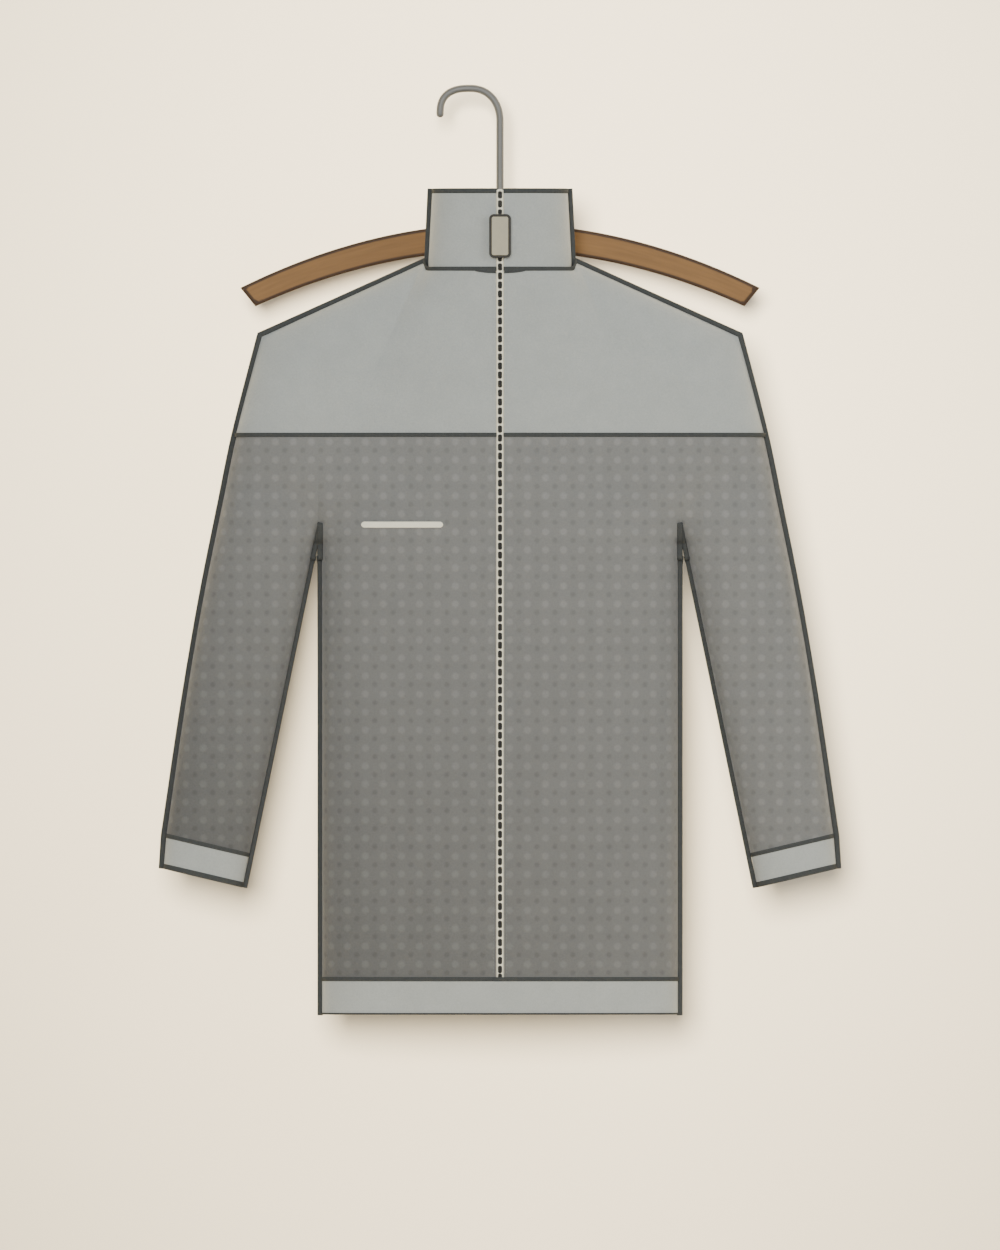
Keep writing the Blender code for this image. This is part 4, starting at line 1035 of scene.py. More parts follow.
bm = bmesh.new()
bind_ring(bm, hem_ring(HEM_Z + HEM_TAPE + HEM_TAPE_RISE), HEM_TAPE, FOLD, WALL / 2)
for side in (-1, 1):
    axis = Vector((side * (CUFF_SEAM_OUT[1] - CUFF_SEAM_IN[1]), 0, CUFF_SEAM_IN[0] - CUFF_SEAM_OUT[0])).normalized()
    bind_ring(bm, tilted(cuff_ring(side, 0)), TAPE, PRESSED, SUNK, axis=axis)
    end_ring = cuff_ring(side, 1 - CUFF_END_MIDDLE / math.dist(CUFF_SEAM_OUT, CUFF_END_OUT))
    bind_ring(bm, tilted(end_ring), OUTLINE_TAPE, FOLD, WALL / 2, axis=axis)
finished("hem_and_cuff_tapes", bm, binding_tape)


def neck_seam_quarter(face, side):
    """The neck seam from the middle right out to the shoulder."""
    points = []
    for turn in shares(RING_STEPS):
        x, depth, z = neck_ring(face, turn, 0)
        x_out = x + NECK_TAPE_OUT * (x / COLLAR_HALF_FOOT) ** 8
        points.append(placed(face, side, x_out, depth, z + NECK_TAPE_RISE))
    return points


bm = bmesh.new()
bind_ring(bm, open_at_zip(round_the_body(neck_seam_quarter)), TAPE, PRESSED, SUNK, closed=False)
top_ring = [point - UPWARDS * COLLAR_TAPE_DROP for point in collar_ring(1)]
bind_ring(bm, top_ring, COLLAR_TAPE, FOLD, WALL / 2, closed=False)
for side in (-1, 1):
    up_the_side = [placed("front", side, x, 0, z) for x, z in COLLAR_SIDE]
    sweep(bm, evenly(up_the_side, TAPE_STEP), COLLAR_SIDE_TAPE, TAPE, TOWARDS_VIEWER)
finished("collar_tapes", bm, binding_tape)

# %% [markdown]
# ## The outline's seams
# Shoulder and overarm are one seam, which turns at the shoulder's tip. The side seam and the underarm seam rise to the
# armpit and end together in a short point on the chest. Below the armpit both lie in the plane where front and back
# meet. Above it there is one point on each face, laid over the hollow between body and sleeve.

# %% Finding the cloth under a detail
from mathutils.bvhtree import BVHTree

bpy.context.view_layer.update()
graph = bpy.context.evaluated_depsgraph_get()
SKINS = {"front": ("front_right", "front_left", "yoke_front_right", "yoke_front_left", "hem_band"),
         "back": ("back", "yoke_back", "hem_band")}
skins = {face: [BVHTree.FromObject(made_pieces[f"{name}_cloth"], graph) for name in names]
         for face, names in SKINS.items()}


def on_cloth(face, x, z, lift=0.0):
    """The cloth's outer face and its normal at x from the jacket's middle and height z, or None where none hangs."""
    inwards = Vector((0, 1 if face == "front" else -1, 0))
    start = Vector((CENTRE_X + x, SIDE_SEAM_Y - 0.2 * inwards.y, z))
    hits = [hit for hit in (skin.ray_cast(start, inwards, 0.2) for skin in skins[face]) if hit[0] is not None]
    if not hits:
        return None
    point, normal, *_ = min(hits, key=lambda hit: hit[3])
    normal = normal if normal.dot(inwards) < 0 else -normal
    return point + normal * lift, normal


# %% Shoulder and overarm
OUT = 0.95 * MM                 # the side's tape stands out this far beyond the solids' outline
OVERARM_OUT = [(z * MM, out * MM) for z, out in (   # and the overarm's this far, by height
    (-229, 2.0), (-310, 1.8), (-400, 1.6), (-520, 1.3), (-620, 1.5), (-737, 1.9))]
NECK_CORNER = (66 * MM, -155.3 * MM)
TAPE_TIP = (230.5 * MM, -229.3 * MM)
CUFF_TAPE_FOOT = (324.3 * MM, -737.6 * MM)


def moved_in(points, offset):
    """The line of x and z moved to its right-hand side, with its corners kept."""
    line = [Vector((x, 0, z)) for x, z in points]
    inwards = [Vector((0, 1, 0)).cross((b - a).normalized()) for a, b in zip(line, line[1:])]
    moved = []
    for k, point in enumerate(line):
        before, after = inwards[max(k - 1, 0)], inwards[min(k, len(inwards) - 1)]
        at = point + (before + after) * offset / (1 + before.dot(after))
        moved.append((at.x, at.z))
    return moved


def tape_edge(z):
    """The outer edge of the overarm's tape."""
    return along(OVERARM, 1, z) + along(OVERARM_OUT, 1, z)


overarm = [mixed(TAPE_TIP[1], CUFF_SEAM_OUT[1], down) for down in shares(60)[1:]]
outer_line = [NECK_CORNER, TAPE_TIP] + [(tape_edge(z), z) for z in overarm] + [CUFF_TAPE_FOOT]
outer_middle = moved_in(outer_line, OUTLINE_TAPE)

bm = bmesh.new()
for side in (-1, 1):
    path = evenly([placed("front", side, x, 0, z) for x, z in outer_middle], TAPE_STEP)
    lay(bm, path, [TOWARDS_VIEWER] * len(path), OUTLINE_TAPE, EDGE_TAPE, faces=(1, -1))
finished("shoulder_and_overarm_tapes", bm, binding_tape)

# %% Side and underarm
CROTCH_TOP_Z = -410.1 * MM      # the top of the point in which both seams end
CROTCH_FOOT_Z = -444 * MM       # from here down both lie in the plane of the sides
CROTCH_STEPS, CROTCH_LIFT, CROTCH_EASE = 34, 0.9 * MM, 2
UNDERARM_OUT = 1.25 * MM        # the underarm's tape has its middle this far towards the sleeve
UNDERARM_SLOPE = (CUFF_SEAM_IN[0] - BODY_HALF) / (ARMPIT_Z - CUFF_SEAM_IN[1]) - 0.0012
UNDERARM_TAPE = 2.3 * MM
SIDE_FOOT_Z, UNDERARM_FOOT_Z = HEM_Z + 0.6 * MM, CUFF_END_IN[1] - 0.4 * MM
SIDE_STEPS = 70


def side_middle(_):
    return BODY_HALF + OUT - OUTLINE_TAPE


def underarm_middle(z):
    return BODY_HALF + (ARMPIT_Z - z) * UNDERARM_SLOPE + UNDERARM_OUT


def crotch_path(face, side, middle):
    """From the top of the point down to the plane of the sides, always in front of the cloth beside it."""
    depths = []
    levels = [mixed(CROTCH_TOP_Z, CROTCH_FOOT_Z, down) for down in shares(CROTCH_STEPS)]
    for z in levels:
        found = [on_cloth(face, side * (middle(z) + aside), z) for aside in (-OUTLINE_TAPE, 0, OUTLINE_TAPE)]
        deepest = max([abs(hit[0].y - SIDE_SEAM_Y) for hit in found if hit] + [0])
        depths.append(max(deepest + CROTCH_LIFT - EDGE_TAPE, 0))
    near = [depths[max(k - CROTCH_EASE, 0):k + CROTCH_EASE + 1] for k in range(len(depths))]
    eased_depths = [sum(some) / len(some) for some in near[:-1]] + [0]
    return [placed(face, side, middle(z), depth, z) for z, depth in zip(levels, eased_depths)]


bm = bmesh.new()
for side in (-1, 1):
    for middle, wide, foot_z in ((side_middle, OUTLINE_TAPE, SIDE_FOOT_Z),
                                 (underarm_middle, UNDERARM_TAPE, UNDERARM_FOOT_Z)):
        levels = [mixed(CROTCH_FOOT_Z, foot_z, down) for down in shares(SIDE_STEPS)[1:]]
        below = [placed("front", side, middle(z), 0, z) for z in levels]
        path = crotch_path("front", side, middle) + below
        outs = [TOWARDS_VIEWER] * len(path)
        lay(bm, path, outs, wide, EDGE_TAPE)
        laid_tapes.append((below, outs[:SIDE_STEPS], wide, EDGE_TAPE, False, (-1,)))
        sweep(bm, crotch_path("back", side, middle), wide, EDGE_TAPE, TOWARDS_VIEWER)
finished("side_and_underarm_tapes", bm, binding_tape)
print("tapes:", [name for name in made_pieces if name.endswith("tapes")])
# %% [markdown]
# ## The shadow inside the collar
# Just under the neck seam the picture has a dark sliver, about 50 mm wide: the shadow under the collar's foot. It is
# painted shadow, a thin patch of the dark binding cloth laid on the cloth, half on each side of the zip.

# %% Painted shadow under the collar
CRESCENT_HALF, CRESCENT_TOP_Z, CRESCENT_FOOT_Z = 25.4 * MM, -169.5 * MM, -173.0 * MM
CRESCENT_ROWS, CRESCENT_COLUMNS, CRESCENT_LIFT, CRESCENT_WALL = 4, 20, 0.8 * MM, 0.5 * MM


def crescent_rows(side):
    rows = []
    for j in range(CRESCENT_ROWS + 1):
        row = []
        for part in shares(CRESCENT_COLUMNS):
            x = mixed(ZIP_EDGE, CRESCENT_HALF, part)
            drop = (CRESCENT_TOP_Z - CRESCENT_FOOT_Z) * math.sqrt(max(1 - (x / CRESCENT_HALF) ** 2, 0.02))
            z = CRESCENT_TOP_Z - drop * j / CRESCENT_ROWS
            point, _ = on_cloth("front", side * x, min(z, NECK_FRONT_Z - 0.4 * MM))
            row.append((Vector((CENTRE_X + side * x, point.y - CRESCENT_LIFT, z)), Vector((side * x, z, 0))))
        rows.append(row)
    return rows


# painted shadow: a dark patch where the collar's foot shades the cloth
cloth("painted_collar_shadow", [crescent_rows(1), crescent_rows(-1)], towards(-1), binding_tape, wall=CRESCENT_WALL)

# %% [markdown]
# ## Zip tapes
# A zip is two woven tapes with a row of teeth on each. The tapes are cream, lie behind the cloth and come forward only
# in the 8 mm between the two fronts. They end in a rounded top at the collar and run under the hem seam's tape.

# %% Cream weave
cream = [woven(name, linear(255, 248, 222), direction, 300.0, 0.4, (0.92, 1.04), (60.0, 0.97, 1.03), 0.85, 0.2,
               0.1 * MM, 0.6) for name, direction in (("zip_weave", "Y"), ("welt_weave", "X"))]
zip_weave, welt_weave = cream

# %% Tapes
ZIP_TOP_Z, ZIP_FOOT_Z = -92.9 * MM, -842.4 * MM
ZIP_TAPE_WALL, ZIP_TAPE_ROWS, ZIP_TAPE_ROUND = 0.9 * MM, 188, 1.6 * MM
ZIP_TAPE_COLUMNS = [(x * MM, back * MM) for x, back in (     # from the middle, and how far behind the cloth's face
    (0.15, 0.9), (1.0, 0.9), (2.0, 0.9), (2.9, 0.95), (3.3, 1.5), (3.7, 2.3), (4.1, 2.5), (8.0, 2.5), (12.9, 2.5))]


def zip_tape_rows(side):
    rows = []
    for down in shares(ZIP_TAPE_ROWS):
        row = []
        for x, back in ZIP_TAPE_COLUMNS:
            top_z = ZIP_TOP_Z - ZIP_TAPE_ROUND * (min(x / (3.8 * MM), 1)) ** 2
            z = mixed(top_z, ZIP_FOOT_Z, down ** 1.02)
            row.append((Vector((CENTRE_X + side * x, centre_y(z) + back, z)), Vector((side * x, z, 0))))
        rows.append(row)
    return rows


for side, hand in HANDS:
    cloth(f"zip_tape_{hand}_weave", [zip_tape_rows(side)], towards(-1), zip_weave,
          stands_for=[f"zip_tape_{hand}"], wall=ZIP_TAPE_WALL)

# %% [markdown]
# ## Zip teeth
# The picture draws the closed teeth as one row of dark dashes, 8.5 mm apart. Each is built as two moulded blocks that
# meet in the middle, one clamped to each tape. Above the slider the zip is open, and the blocks stand a little apart.
# A block is a plate with rounded outer corners and a chamfer, because that is what a moulded tooth is.

# %% A plate with a chamfer
def rounded_box(half_x, half_z, corner, steps=5):
    """The outline of a rounded rectangle round 0, as points of x and z."""
    outline = []
    for k, (sx, sz) in enumerate(((1, 1), (-1, 1), (-1, -1), (1, -1))):
        for i in range(steps + 1):
            turn = math.radians(90 * (k + i / steps))
            outline.append((sx * (half_x - corner) + corner * math.cos(turn),
                            sz * (half_z - corner) + corner * math.sin(turn)))
    return outline


def plate(bm, outline, chamfer, place):
    """A plate with that outline; place turns x, z and 0 for its front or 1 for its back into a point."""
    edge = [Vector((x, 0, z)) for x, z in outline]
    ways = tangents(edge, closed=True)
    inner = [point - Vector((0, 1, 0)).cross(way) * chamfer for point, way in zip(edge, ways)]
    middle = sum(edge, Vector()) / len(edge)
    if sum((point - middle).length for point in inner) > sum((point - middle).length for point in edge):
        inner = [point + Vector((0, 1, 0)).cross(way) * chamfer for point, way in zip(edge, ways)]
    front, back = place(0, 0, 0).y, place(0, 0, 1).y
    share = chamfer / abs(back - front)
    rings = [[bm.verts.new(place(p.x, p.z, deep)) for p in line]
             for line, deep in ((inner, 0), (edge, share), (edge, 1 - share), (inner, 1))]
    skin(bm, rings)


# %% Teeth
zip_resin = patchy("zip_resin", linear(40, 39, 36), 400.0, 0.9, 1.1, 0.6, 0.15)
TEETH, TOOTH_FIRST_Z, TOOTH_PITCH = 88, -98.5 * MM, 8.55 * MM
TOOTH_HALF_LONG, TOOTH_OUTER, TOOTH_CORNER, TOOTH_CHAMFER = 3.4 * MM, 1.95 * MM, 1.3 * MM, 0.08 * MM
TOOTH_FRONT, TOOTH_BACK = -0.25 * MM, 2.3 * MM
TOOTH_SHORTEST, SLIDER_GAP = 1.5 * MM, 0.3 * MM
SLIDER_TOP_Z, SLIDER_FOOT_Z = -117.2 * MM, -130.2 * MM


def tooth_outline(side, inner, half_long):
    """One block: square where it meets its neighbour, rounded outside."""
    corner = min(TOOTH_CORNER, half_long)
    points = [(inner, half_long)]
    for k in range(6):
        turn = math.pi / 2 * k / 5
        points.append((TOOTH_OUTER - corner + corner * math.sin(turn), half_long - corner + corner * math.cos(turn)))
    points += [(x, -z) for x, z in points[::-1]]
    return [(side * x, z) for x, z in points]


teeth = {"zip_chain": bmesh.new(), "zip_row_right": bmesh.new(), "zip_row_left": bmesh.new()}
count = 0
for k in range(TEETH):
    middle_z = TOOTH_FIRST_Z - k * TOOTH_PITCH
    top, foot = middle_z + TOOTH_HALF_LONG, middle_z - TOOTH_HALF_LONG
    if k == TEETH - 1:
        top, foot = top + 1.2 * MM, ZIP_FOOT_Z
    is_open = middle_z > SLIDER_TOP_Z
    if is_open:
        foot = max(foot, SLIDER_TOP_Z + SLIDER_GAP)
    else:
        top = min(top, SLIDER_FOOT_Z - SLIDER_GAP)
    if top - foot < TOOTH_SHORTEST:
        continue
    middle_z = (top + foot) / 2
    for side, hand in HANDS:
        bm = teeth[f"zip_row_{hand}" if is_open else "zip_chain"]
        plate(bm, tooth_outline(side, (0.04 if is_open else 0.01) * MM, (top - foot) / 2), TOOTH_CHAMFER,
              lambda x, z, deep: Vector((CENTRE_X + x, centre_y(middle_z + z) + mixed(TOOTH_FRONT, TOOTH_BACK, deep),
                                         middle_z + z)))
        count += 1
for name, bm in teeth.items():
    finished(f"{name}_teeth", bm, zip_resin, stands_for=[name], sharp=30)
print("teeth:", count)

# %% [markdown]
# ## Slider
# Two metal plates hold the teeth between them, joined by the diamond that parts the rows. An eye on the front plate
# carries the pull tab's pin. It stays where it is, just under the collar's top.

# %% Slider
paint = Paint("slider_metal")
slider_metal = paint.surface(linear(118, 116, 110), paint.cloud(350.0, 0.22, 0.36), Metallic=0.9)

PIVOT_Z = -118.2 * MM
PIVOT = Vector((CENTRE_X, centre_y(PIVOT_Z) - 3.7 * MM, PIVOT_Z))
SLIDER_FACE_Y = PIVOT.y + 1.9 * MM
SLIDER_BACK_Y = centre_y(SLIDER_TOP_Z) + WALL + 2 * SEAM + 1 * MM
SLIDER_PLATE, SLIDER_CHAMFER, DIAMOND_HIGH = 1.2 * MM, 0.3 * MM, 3.4 * MM
EYE_RADIUS, EYE_HALF_WIDE, EYE_HALF_THICK = 1.35, 1.4 * MM, 0.33 * MM       # the radius in millimetres


def slider_outline():
    """Broad shoulders at the top, where the rows come in, and a narrower foot."""
    half = (SLIDER_TOP_Z - SLIDER_FOOT_Z) / 2
    right = [(2.2, 1.0), (3.3, 0.96), (4.0, 0.84), (4.2, 0.6), (4.1, 0.3), (3.7, 0.0), (3.4, -0.4), (3.3, -0.8),
             (3.0, -0.95), (2.2, -1.0)]
    points = [(x * MM, z * half) for x, z in right]
    return points + [(-x, z) for x, z in points[::-1]]


def slab(front, thick, middle_z):
    return lambda x, z, deep: Vector((CENTRE_X + x, front + thick * deep, middle_z + z))


slider_middle_z = (SLIDER_TOP_Z + SLIDER_FOOT_Z) / 2
bm = bmesh.new()
for plate_y in (SLIDER_FACE_Y, SLIDER_BACK_Y):
    plate(bm, slider_outline(), SLIDER_CHAMFER, slab(plate_y, SLIDER_PLATE, slider_middle_z))
diamond = [(0.34 * MM, DIAMOND_HIGH / 2), (-0.34 * MM, DIAMOND_HIGH / 2), (-0.1 * MM, -DIAMOND_HIGH / 2),
           (0.1 * MM, -DIAMOND_HIGH / 2)]
plate(bm, diamond, 0.05 * MM, slab(SLIDER_FACE_Y + 1.0 * MM, SLIDER_BACK_Y - SLIDER_FACE_Y - 0.8 * MM,
                                   SLIDER_TOP_Z - DIAMOND_HIGH / 2))
ring = [Vector((0, math.cos(turn), math.sin(turn))) for turn in [2 * math.pi * k / 20 for k in range(20)]]
eye = [PIVOT + way * EYE_RADIUS * MM for way in ring]
sweep(bm, eye, EYE_HALF_WIDE, EYE_HALF_THICK, ring, closed=True, square=4)
plate(bm, rounded_box(1.35 * MM, 1.0 * MM, 0.3 * MM), 0.1 * MM, slab(PIVOT.y + 1.4 * MM, 1.0 * MM, PIVOT.z))
finished("zip_slider_body", bm, slider_metal, stands_for=["zip_slider"], sharp=30)

# %% [markdown]
# ## Pull tab
# A flat rubber tab swings on a pin through the slider's eye. A taupe face is set in a dark rim, on both sides alike.
# The rim is a sweep round the tab and the face a chamfered plate that fills it, so they are two mouldings, as in a real
# two-colour tab. Both ride on the tab's own body.

# %% Tab
tab_face_rubber = patchy("tab_face_rubber", linear(176, 169, 145), 260.0, 0.97, 1.03, 0.6, 0.25)
tab_rim_rubber = patchy("tab_rim_rubber", linear(62, 60, 55), 260.0, 0.92, 1.08, 0.65, 0.2)
TAB_HALF_WIDE, TAB_TOP_Z, TAB_FOOT_Z, TAB_CORNER = 10.3 * MM, -116.8 * MM, -158.3 * MM, 4.4 * MM
TAB_THICK, RIM = 1.8 * MM, 1.2 * MM     # the rim's thickness, and half its width
FACE_THICK, FACE_GAP, FACE_CHAMFER = 1.9 * MM, 0.03 * MM, 0.25 * MM
TAB_MIDDLE = Vector((CENTRE_X, PIVOT.y - 3.0 * MM, (TAB_TOP_Z + TAB_FOOT_Z) / 2))
tab_half_high = (TAB_TOP_Z - TAB_FOOT_Z) / 2

bm = bmesh.new()
rim_line = rounded_box(TAB_HALF_WIDE - RIM, tab_half_high - RIM, TAB_CORNER - RIM, steps=8)
rim_path = [TAB_MIDDLE + Vector((x, 0, z)) for x, z in rim_line]
sweep(bm, evenly(rim_path + rim_path[:1], 2 * MM)[:-1], RIM, TAB_THICK / 2, TOWARDS_VIEWER, closed=True)
finished("pull_tab_rim", bm, tab_rim_rubber, body="pull_tab")

# %% The tab's face, its two arms and its pin
ARM_ENDS, ARM_RADIUS = (1.8, 2.75), 1.15 * MM           # the ends in millimetres from the middle
PIN_ENDS, PIN_RADIUS = (-1.95, 1.95), 0.68 * MM

bm = bmesh.new()
face = rounded_box(TAB_HALF_WIDE - 2 * RIM - FACE_GAP, tab_half_high - 2 * RIM - FACE_GAP, TAB_CORNER - 2 * RIM, 8)
plate(bm, face, FACE_CHAMFER, slab(TAB_MIDDLE.y - FACE_THICK / 2, FACE_THICK, TAB_MIDDLE.z))
for side in (-1, 1):
    inner, outer = [PIVOT + Vector((side * x * MM, 0, 0)) for x in ARM_ENDS]
    sweep(bm, [inner, outer], ARM_RADIUS, ARM_RADIUS, TOWARDS_VIEWER, square=2)
    web = [(side * (2.275 + x * 0.44) * MM, z * MM) for x, z in ((1, 0.9), (-1, 0.9), (-1, -0.9), (1, -0.9))]
    plate(bm, web, 0.05 * MM, slab(PIVOT.y - 2.15 * MM, 2.0 * MM, PIVOT.z))
pin = [PIVOT + Vector((x * MM, 0, 0)) for x in PIN_ENDS]
sweep(bm, pin, PIN_RADIUS, PIN_RADIUS, TOWARDS_VIEWER, square=2)
finished("pull_tab_face", bm, tab_face_rubber, body="pull_tab", stands_for=["pull_tab"], sharp=30)

# %% [markdown]
# ## Chest welt
# A narrow cream strip covers the pocket's mouth on the wearer's right. It is sewn down flat, with rounded ends.

# %% Welt
WELT_RIGHT, WELT_LEFT, WELT_Z = -131.3 * MM, -54.1 * MM, -411.6 * MM
WELT_HALF, WELT_THICK, WELT_LIFT = 2.9 * MM, 1.5 * MM, 0.25 * MM
WELT_STEPS = 60
welt_points, welt_outs, welt_wide = [], [], []
for k in range(WELT_STEPS + 1):
    x = mixed(WELT_RIGHT, WELT_LEFT, (1 - math.cos(math.pi * k / WELT_STEPS)) / 2)
    point, out = on_cloth("front", x, WELT_Z, lift=WELT_LIFT + WELT_THICK / 2)
    near_end = min(x - WELT_RIGHT, WELT_LEFT - x, WELT_HALF)
    welt_points.append(point)
    welt_outs.append(out)
    welt_wide.append(WELT_HALF * math.sqrt(max(1 - (1 - near_end / WELT_HALF) ** 2, 0.03)))
bm = bmesh.new()
sweep(bm, welt_points, welt_wide, WELT_THICK / 2, welt_outs, square=4, scales=[1.0] * len(welt_points))
finished("chest_welt_strip", bm, welt_weave, stands_for=["chest_welt"])

# %% [markdown]
# ## Hanger
# A flat curved wooden bar, with a wire hook let into it. The bar's edges are darker, as in the picture, where the wood
# is rounded off and stained. Its grain runs along the bar. The hook's stem sits in a bored hole, so the hole is cut
# out of the bar.

# %% Wire hook
paint = Paint("hook_steel")
brushed = paint.node("TexNoise", Vector=paint.places(), Scale=120.0, Detail=4.0)
hook_steel = paint.surface(linear(121, 120, 115), paint.spread(brushed.outputs[0], 0.5, 0.62), Metallic=0.5)

BAR_TOP_Z, BAR_FOOT_Z, BAR_THICK = -124.9 * MM, -150.8 * MM, 12 * MM
HOOK_HALF, WIRE = 28.5 * MM, 7.1 * MM
HOOK_TIP_RISE, HOOK_TIP_ROUNDNESS = 24.2 * MM, 2.6
HOOK_STEM_RISE, HOOK_STEM_ROUNDNESS = 31.8 * MM, 2.2
STEM_DEPTH = 15 * MM
HOOK_STEPS = 28


def squared_arc(turn, roundness):
    """Out and up on a quarter ring, squarer than a circle."""
    return math.cos(turn) ** (2 / roundness), math.sin(turn) ** (2 / roundness)


tip_z = WIRE / 2 - HOOK_TIP_RISE
# the rounded end: how far below the tip's middle, in half widths, and the share of the wire's width there
HOOK_END = ((1.0, 0.15), (0.93, 0.37), (0.86, 0.52), (0.7, 0.75), (0.4, 0.93))
hook_line = [(-2 * HOOK_HALF, tip_z - drop * WIRE / 2, share) for drop, share in HOOK_END]
for k in range(HOOK_STEPS + 1):
    out, up = squared_arc(math.pi / 2 * k / HOOK_STEPS, HOOK_TIP_ROUNDNESS)
    hook_line.append((-HOOK_HALF - HOOK_HALF * out, tip_z + HOOK_TIP_RISE * up, 1.0))
for k in range(1, HOOK_STEPS + 1):
    out, up = squared_arc(math.pi / 2 * (1 - k / HOOK_STEPS), HOOK_STEM_ROUNDNESS)
    hook_line.append((-HOOK_HALF + HOOK_HALF * out, WIRE / 2 - HOOK_STEM_RISE * (1 - up), 1.0))
hook_line += [(0, mixed(hook_line[-1][1], BAR_TOP_Z - STEM_DEPTH, down), 1.0) for down in shares(10)[1:]]
bm = bmesh.new()
sweep(bm, [Vector((HOOK_HALF + x, 0, z)) for x, z, _ in hook_line], WIRE / 2, WIRE / 2, TOWARDS_VIEWER, square=2,
      scales=[share for *_, share in hook_line])
finished("hanger_hook_wire", bm, hook_steel, stands_for=["hanger_hook"])

# %% Wooden bar
BAR_TOP_HALF, BAR_FOOT_HALF, BAR_EDGE = 247.0 * MM, 232.5 * MM, 1.8 * MM
BAR_TOP_RADIUS, BAR_FOOT_RADIUS = 498 * MM, 510 * MM
BAR_STEPS = 90
# across the bar: how far below its top edge, in shares, and how deep from its middle
SIDE_SHARES = [0.0, 0.02, 0.045, 0.08, 0.12, 0.3, 0.5, 0.7, 0.88, 0.92, 0.955, 0.98, 1.0]


def bar_edge_z(x, middle_z, radius):
    return middle_z - x * x / (2 * radius)


def bar_depth(share):
    """Half the bar's thickness this share of the way down it: less at its rounded edges."""
    high = BAR_TOP_Z - BAR_FOOT_Z
    inside = min(min(share, 1 - share) * high / BAR_EDGE, 1)
    return BAR_THICK / 2 - BAR_EDGE * (1 - math.sqrt(max(1 - (1 - inside) ** 2, 0)))


bm = bmesh.new()
rings = []
ends = {sign * near for sign in (-1, 1) for near in (0.999, 0.9965, 0.9925)}
for run in sorted({mixed(-1, 1, part) for part in shares(BAR_STEPS)} | ends):
    from_end = min((1 - abs(run)) * BAR_TOP_HALF / BAR_EDGE, 1)
    thin = 1 - 0.3 * (1 - math.sqrt(max(1 - (1 - from_end) ** 2, 0)))
    ring = []
    for share, face in [(v, -1) for v in SIDE_SHARES] + [(v, 1) for v in SIDE_SHARES[::-1]]:
        top_x, foot_x = run * BAR_TOP_HALF, run * BAR_FOOT_HALF
        x = mixed(top_x, foot_x, share)
        top_z, foot_z = bar_edge_z(top_x, BAR_TOP_Z, BAR_TOP_RADIUS), bar_edge_z(foot_x, BAR_FOOT_Z, BAR_FOOT_RADIUS)
        z = mixed(top_z, foot_z, share)
        ring.append(bm.verts.new((HOOK_HALF + x, face * bar_depth(share) * thin, z)))
    rings.append(ring)
skin(bm, rings)
wood = Paint("stained_wood")
bar = finished("hanger_bar_wood", bm, wood.material, stands_for=["hanger_bar"], sharp=40)

# %% The bore for the stem
BORE_RADIUS = WIRE / 2 + 0.25 * MM
bore = [Vector((HOOK_HALF, 0, z)) for z in (BAR_TOP_Z + 3 * MM, BAR_TOP_Z - STEM_DEPTH - 0.2 * MM)]
bm = bmesh.new()
sweep(bm, bore, BORE_RADIUS, BORE_RADIUS, TOWARDS_VIEWER, square=2, scales=[1, 1])
bmesh.ops.recalc_face_normals(bm, faces=bm.faces)
drill = in_scene("drill", mesh_of("drill", bm))
bored = bar.modifiers.new("bore", "BOOLEAN")
bored.operation, bored.object, bored.solver = "DIFFERENCE", drill, "EXACT"
take_modified_mesh(bar)
bpy.data.objects.remove(drill)

# %% Grain, and the stain along the edges
STAIN_FULL, STAIN_GONE = 2.4 * MM, 4.1 * MM     # in from the edge
ALONG_THE_GRAIN = 0.07                          # how much slower the grain changes along the bar than across it
grain_at = bar.data.attributes.new("grain_at", "FLOAT_VECTOR", "POINT")
for k, vertex in enumerate(bar.data.vertices):
    x, y, z = vertex.co.x - HOOK_HALF, vertex.co.y, vertex.co.z
    from_top = bar_edge_z(x, BAR_TOP_Z, BAR_TOP_RADIUS) - z
    from_foot = z - bar_edge_z(x, BAR_FOOT_Z, BAR_FOOT_RADIUS)
    slant = BAR_TOP_HALF - (BAR_TOP_HALF - BAR_FOOT_HALF) * from_top / max(from_top + from_foot, 1 * MM)
    grain_at.data[k].vector = (x, min(from_top, from_foot, slant - abs(x)), from_top + 0.3 * y)

split = wood.node("SeparateXYZ", wood.places("grain_at")).outputs
stretched = wood.node("CombineXYZ", wood.math("MULTIPLY", split["X"], ALONG_THE_GRAIN), split["Z"]).outputs[0]
grain = wood.node("TexNoise", Vector=stretched, Scale=260.0, Detail=5.0, Roughness=0.6, Distortion=0.3).outputs[0]
near_edge = wood.spread(split["Y"], 1, 0, STAIN_FULL, STAIN_GONE, "SMOOTHSTEP")
stain = wood.node("Mix", data_type="RGBA", blend_type="MIX")
for place, value in ((0, near_edge), (6, linear(134, 98, 55)), (7, linear(66, 46, 28))):
    wood.feed(stain.inputs[place], value)
wood.surface(wood.shaded(stain.outputs[2], wood.spread(grain, 0.88, 1.1, 0.3, 0.7)), 0.55, 0.25)
wood.bumped(grain, 0.15 * MM, 0.5)
print("bar:", len(bar.data.polygons), "faces")

# %% [markdown]
# ## Hanging loop
# A braided cord is sewn in at both ends at the back of the neck. It goes up behind the bar's front, over its top and
# round behind the hook's stem, so the jacket hangs from it.

# %% Loop
braid = woven("braided_cord", linear(74, 73, 68), "DIAGONAL", 420.0, 0.8, (0.8, 1.15), None, 0.85, 0.5,
              0.25 * MM, 0.8)

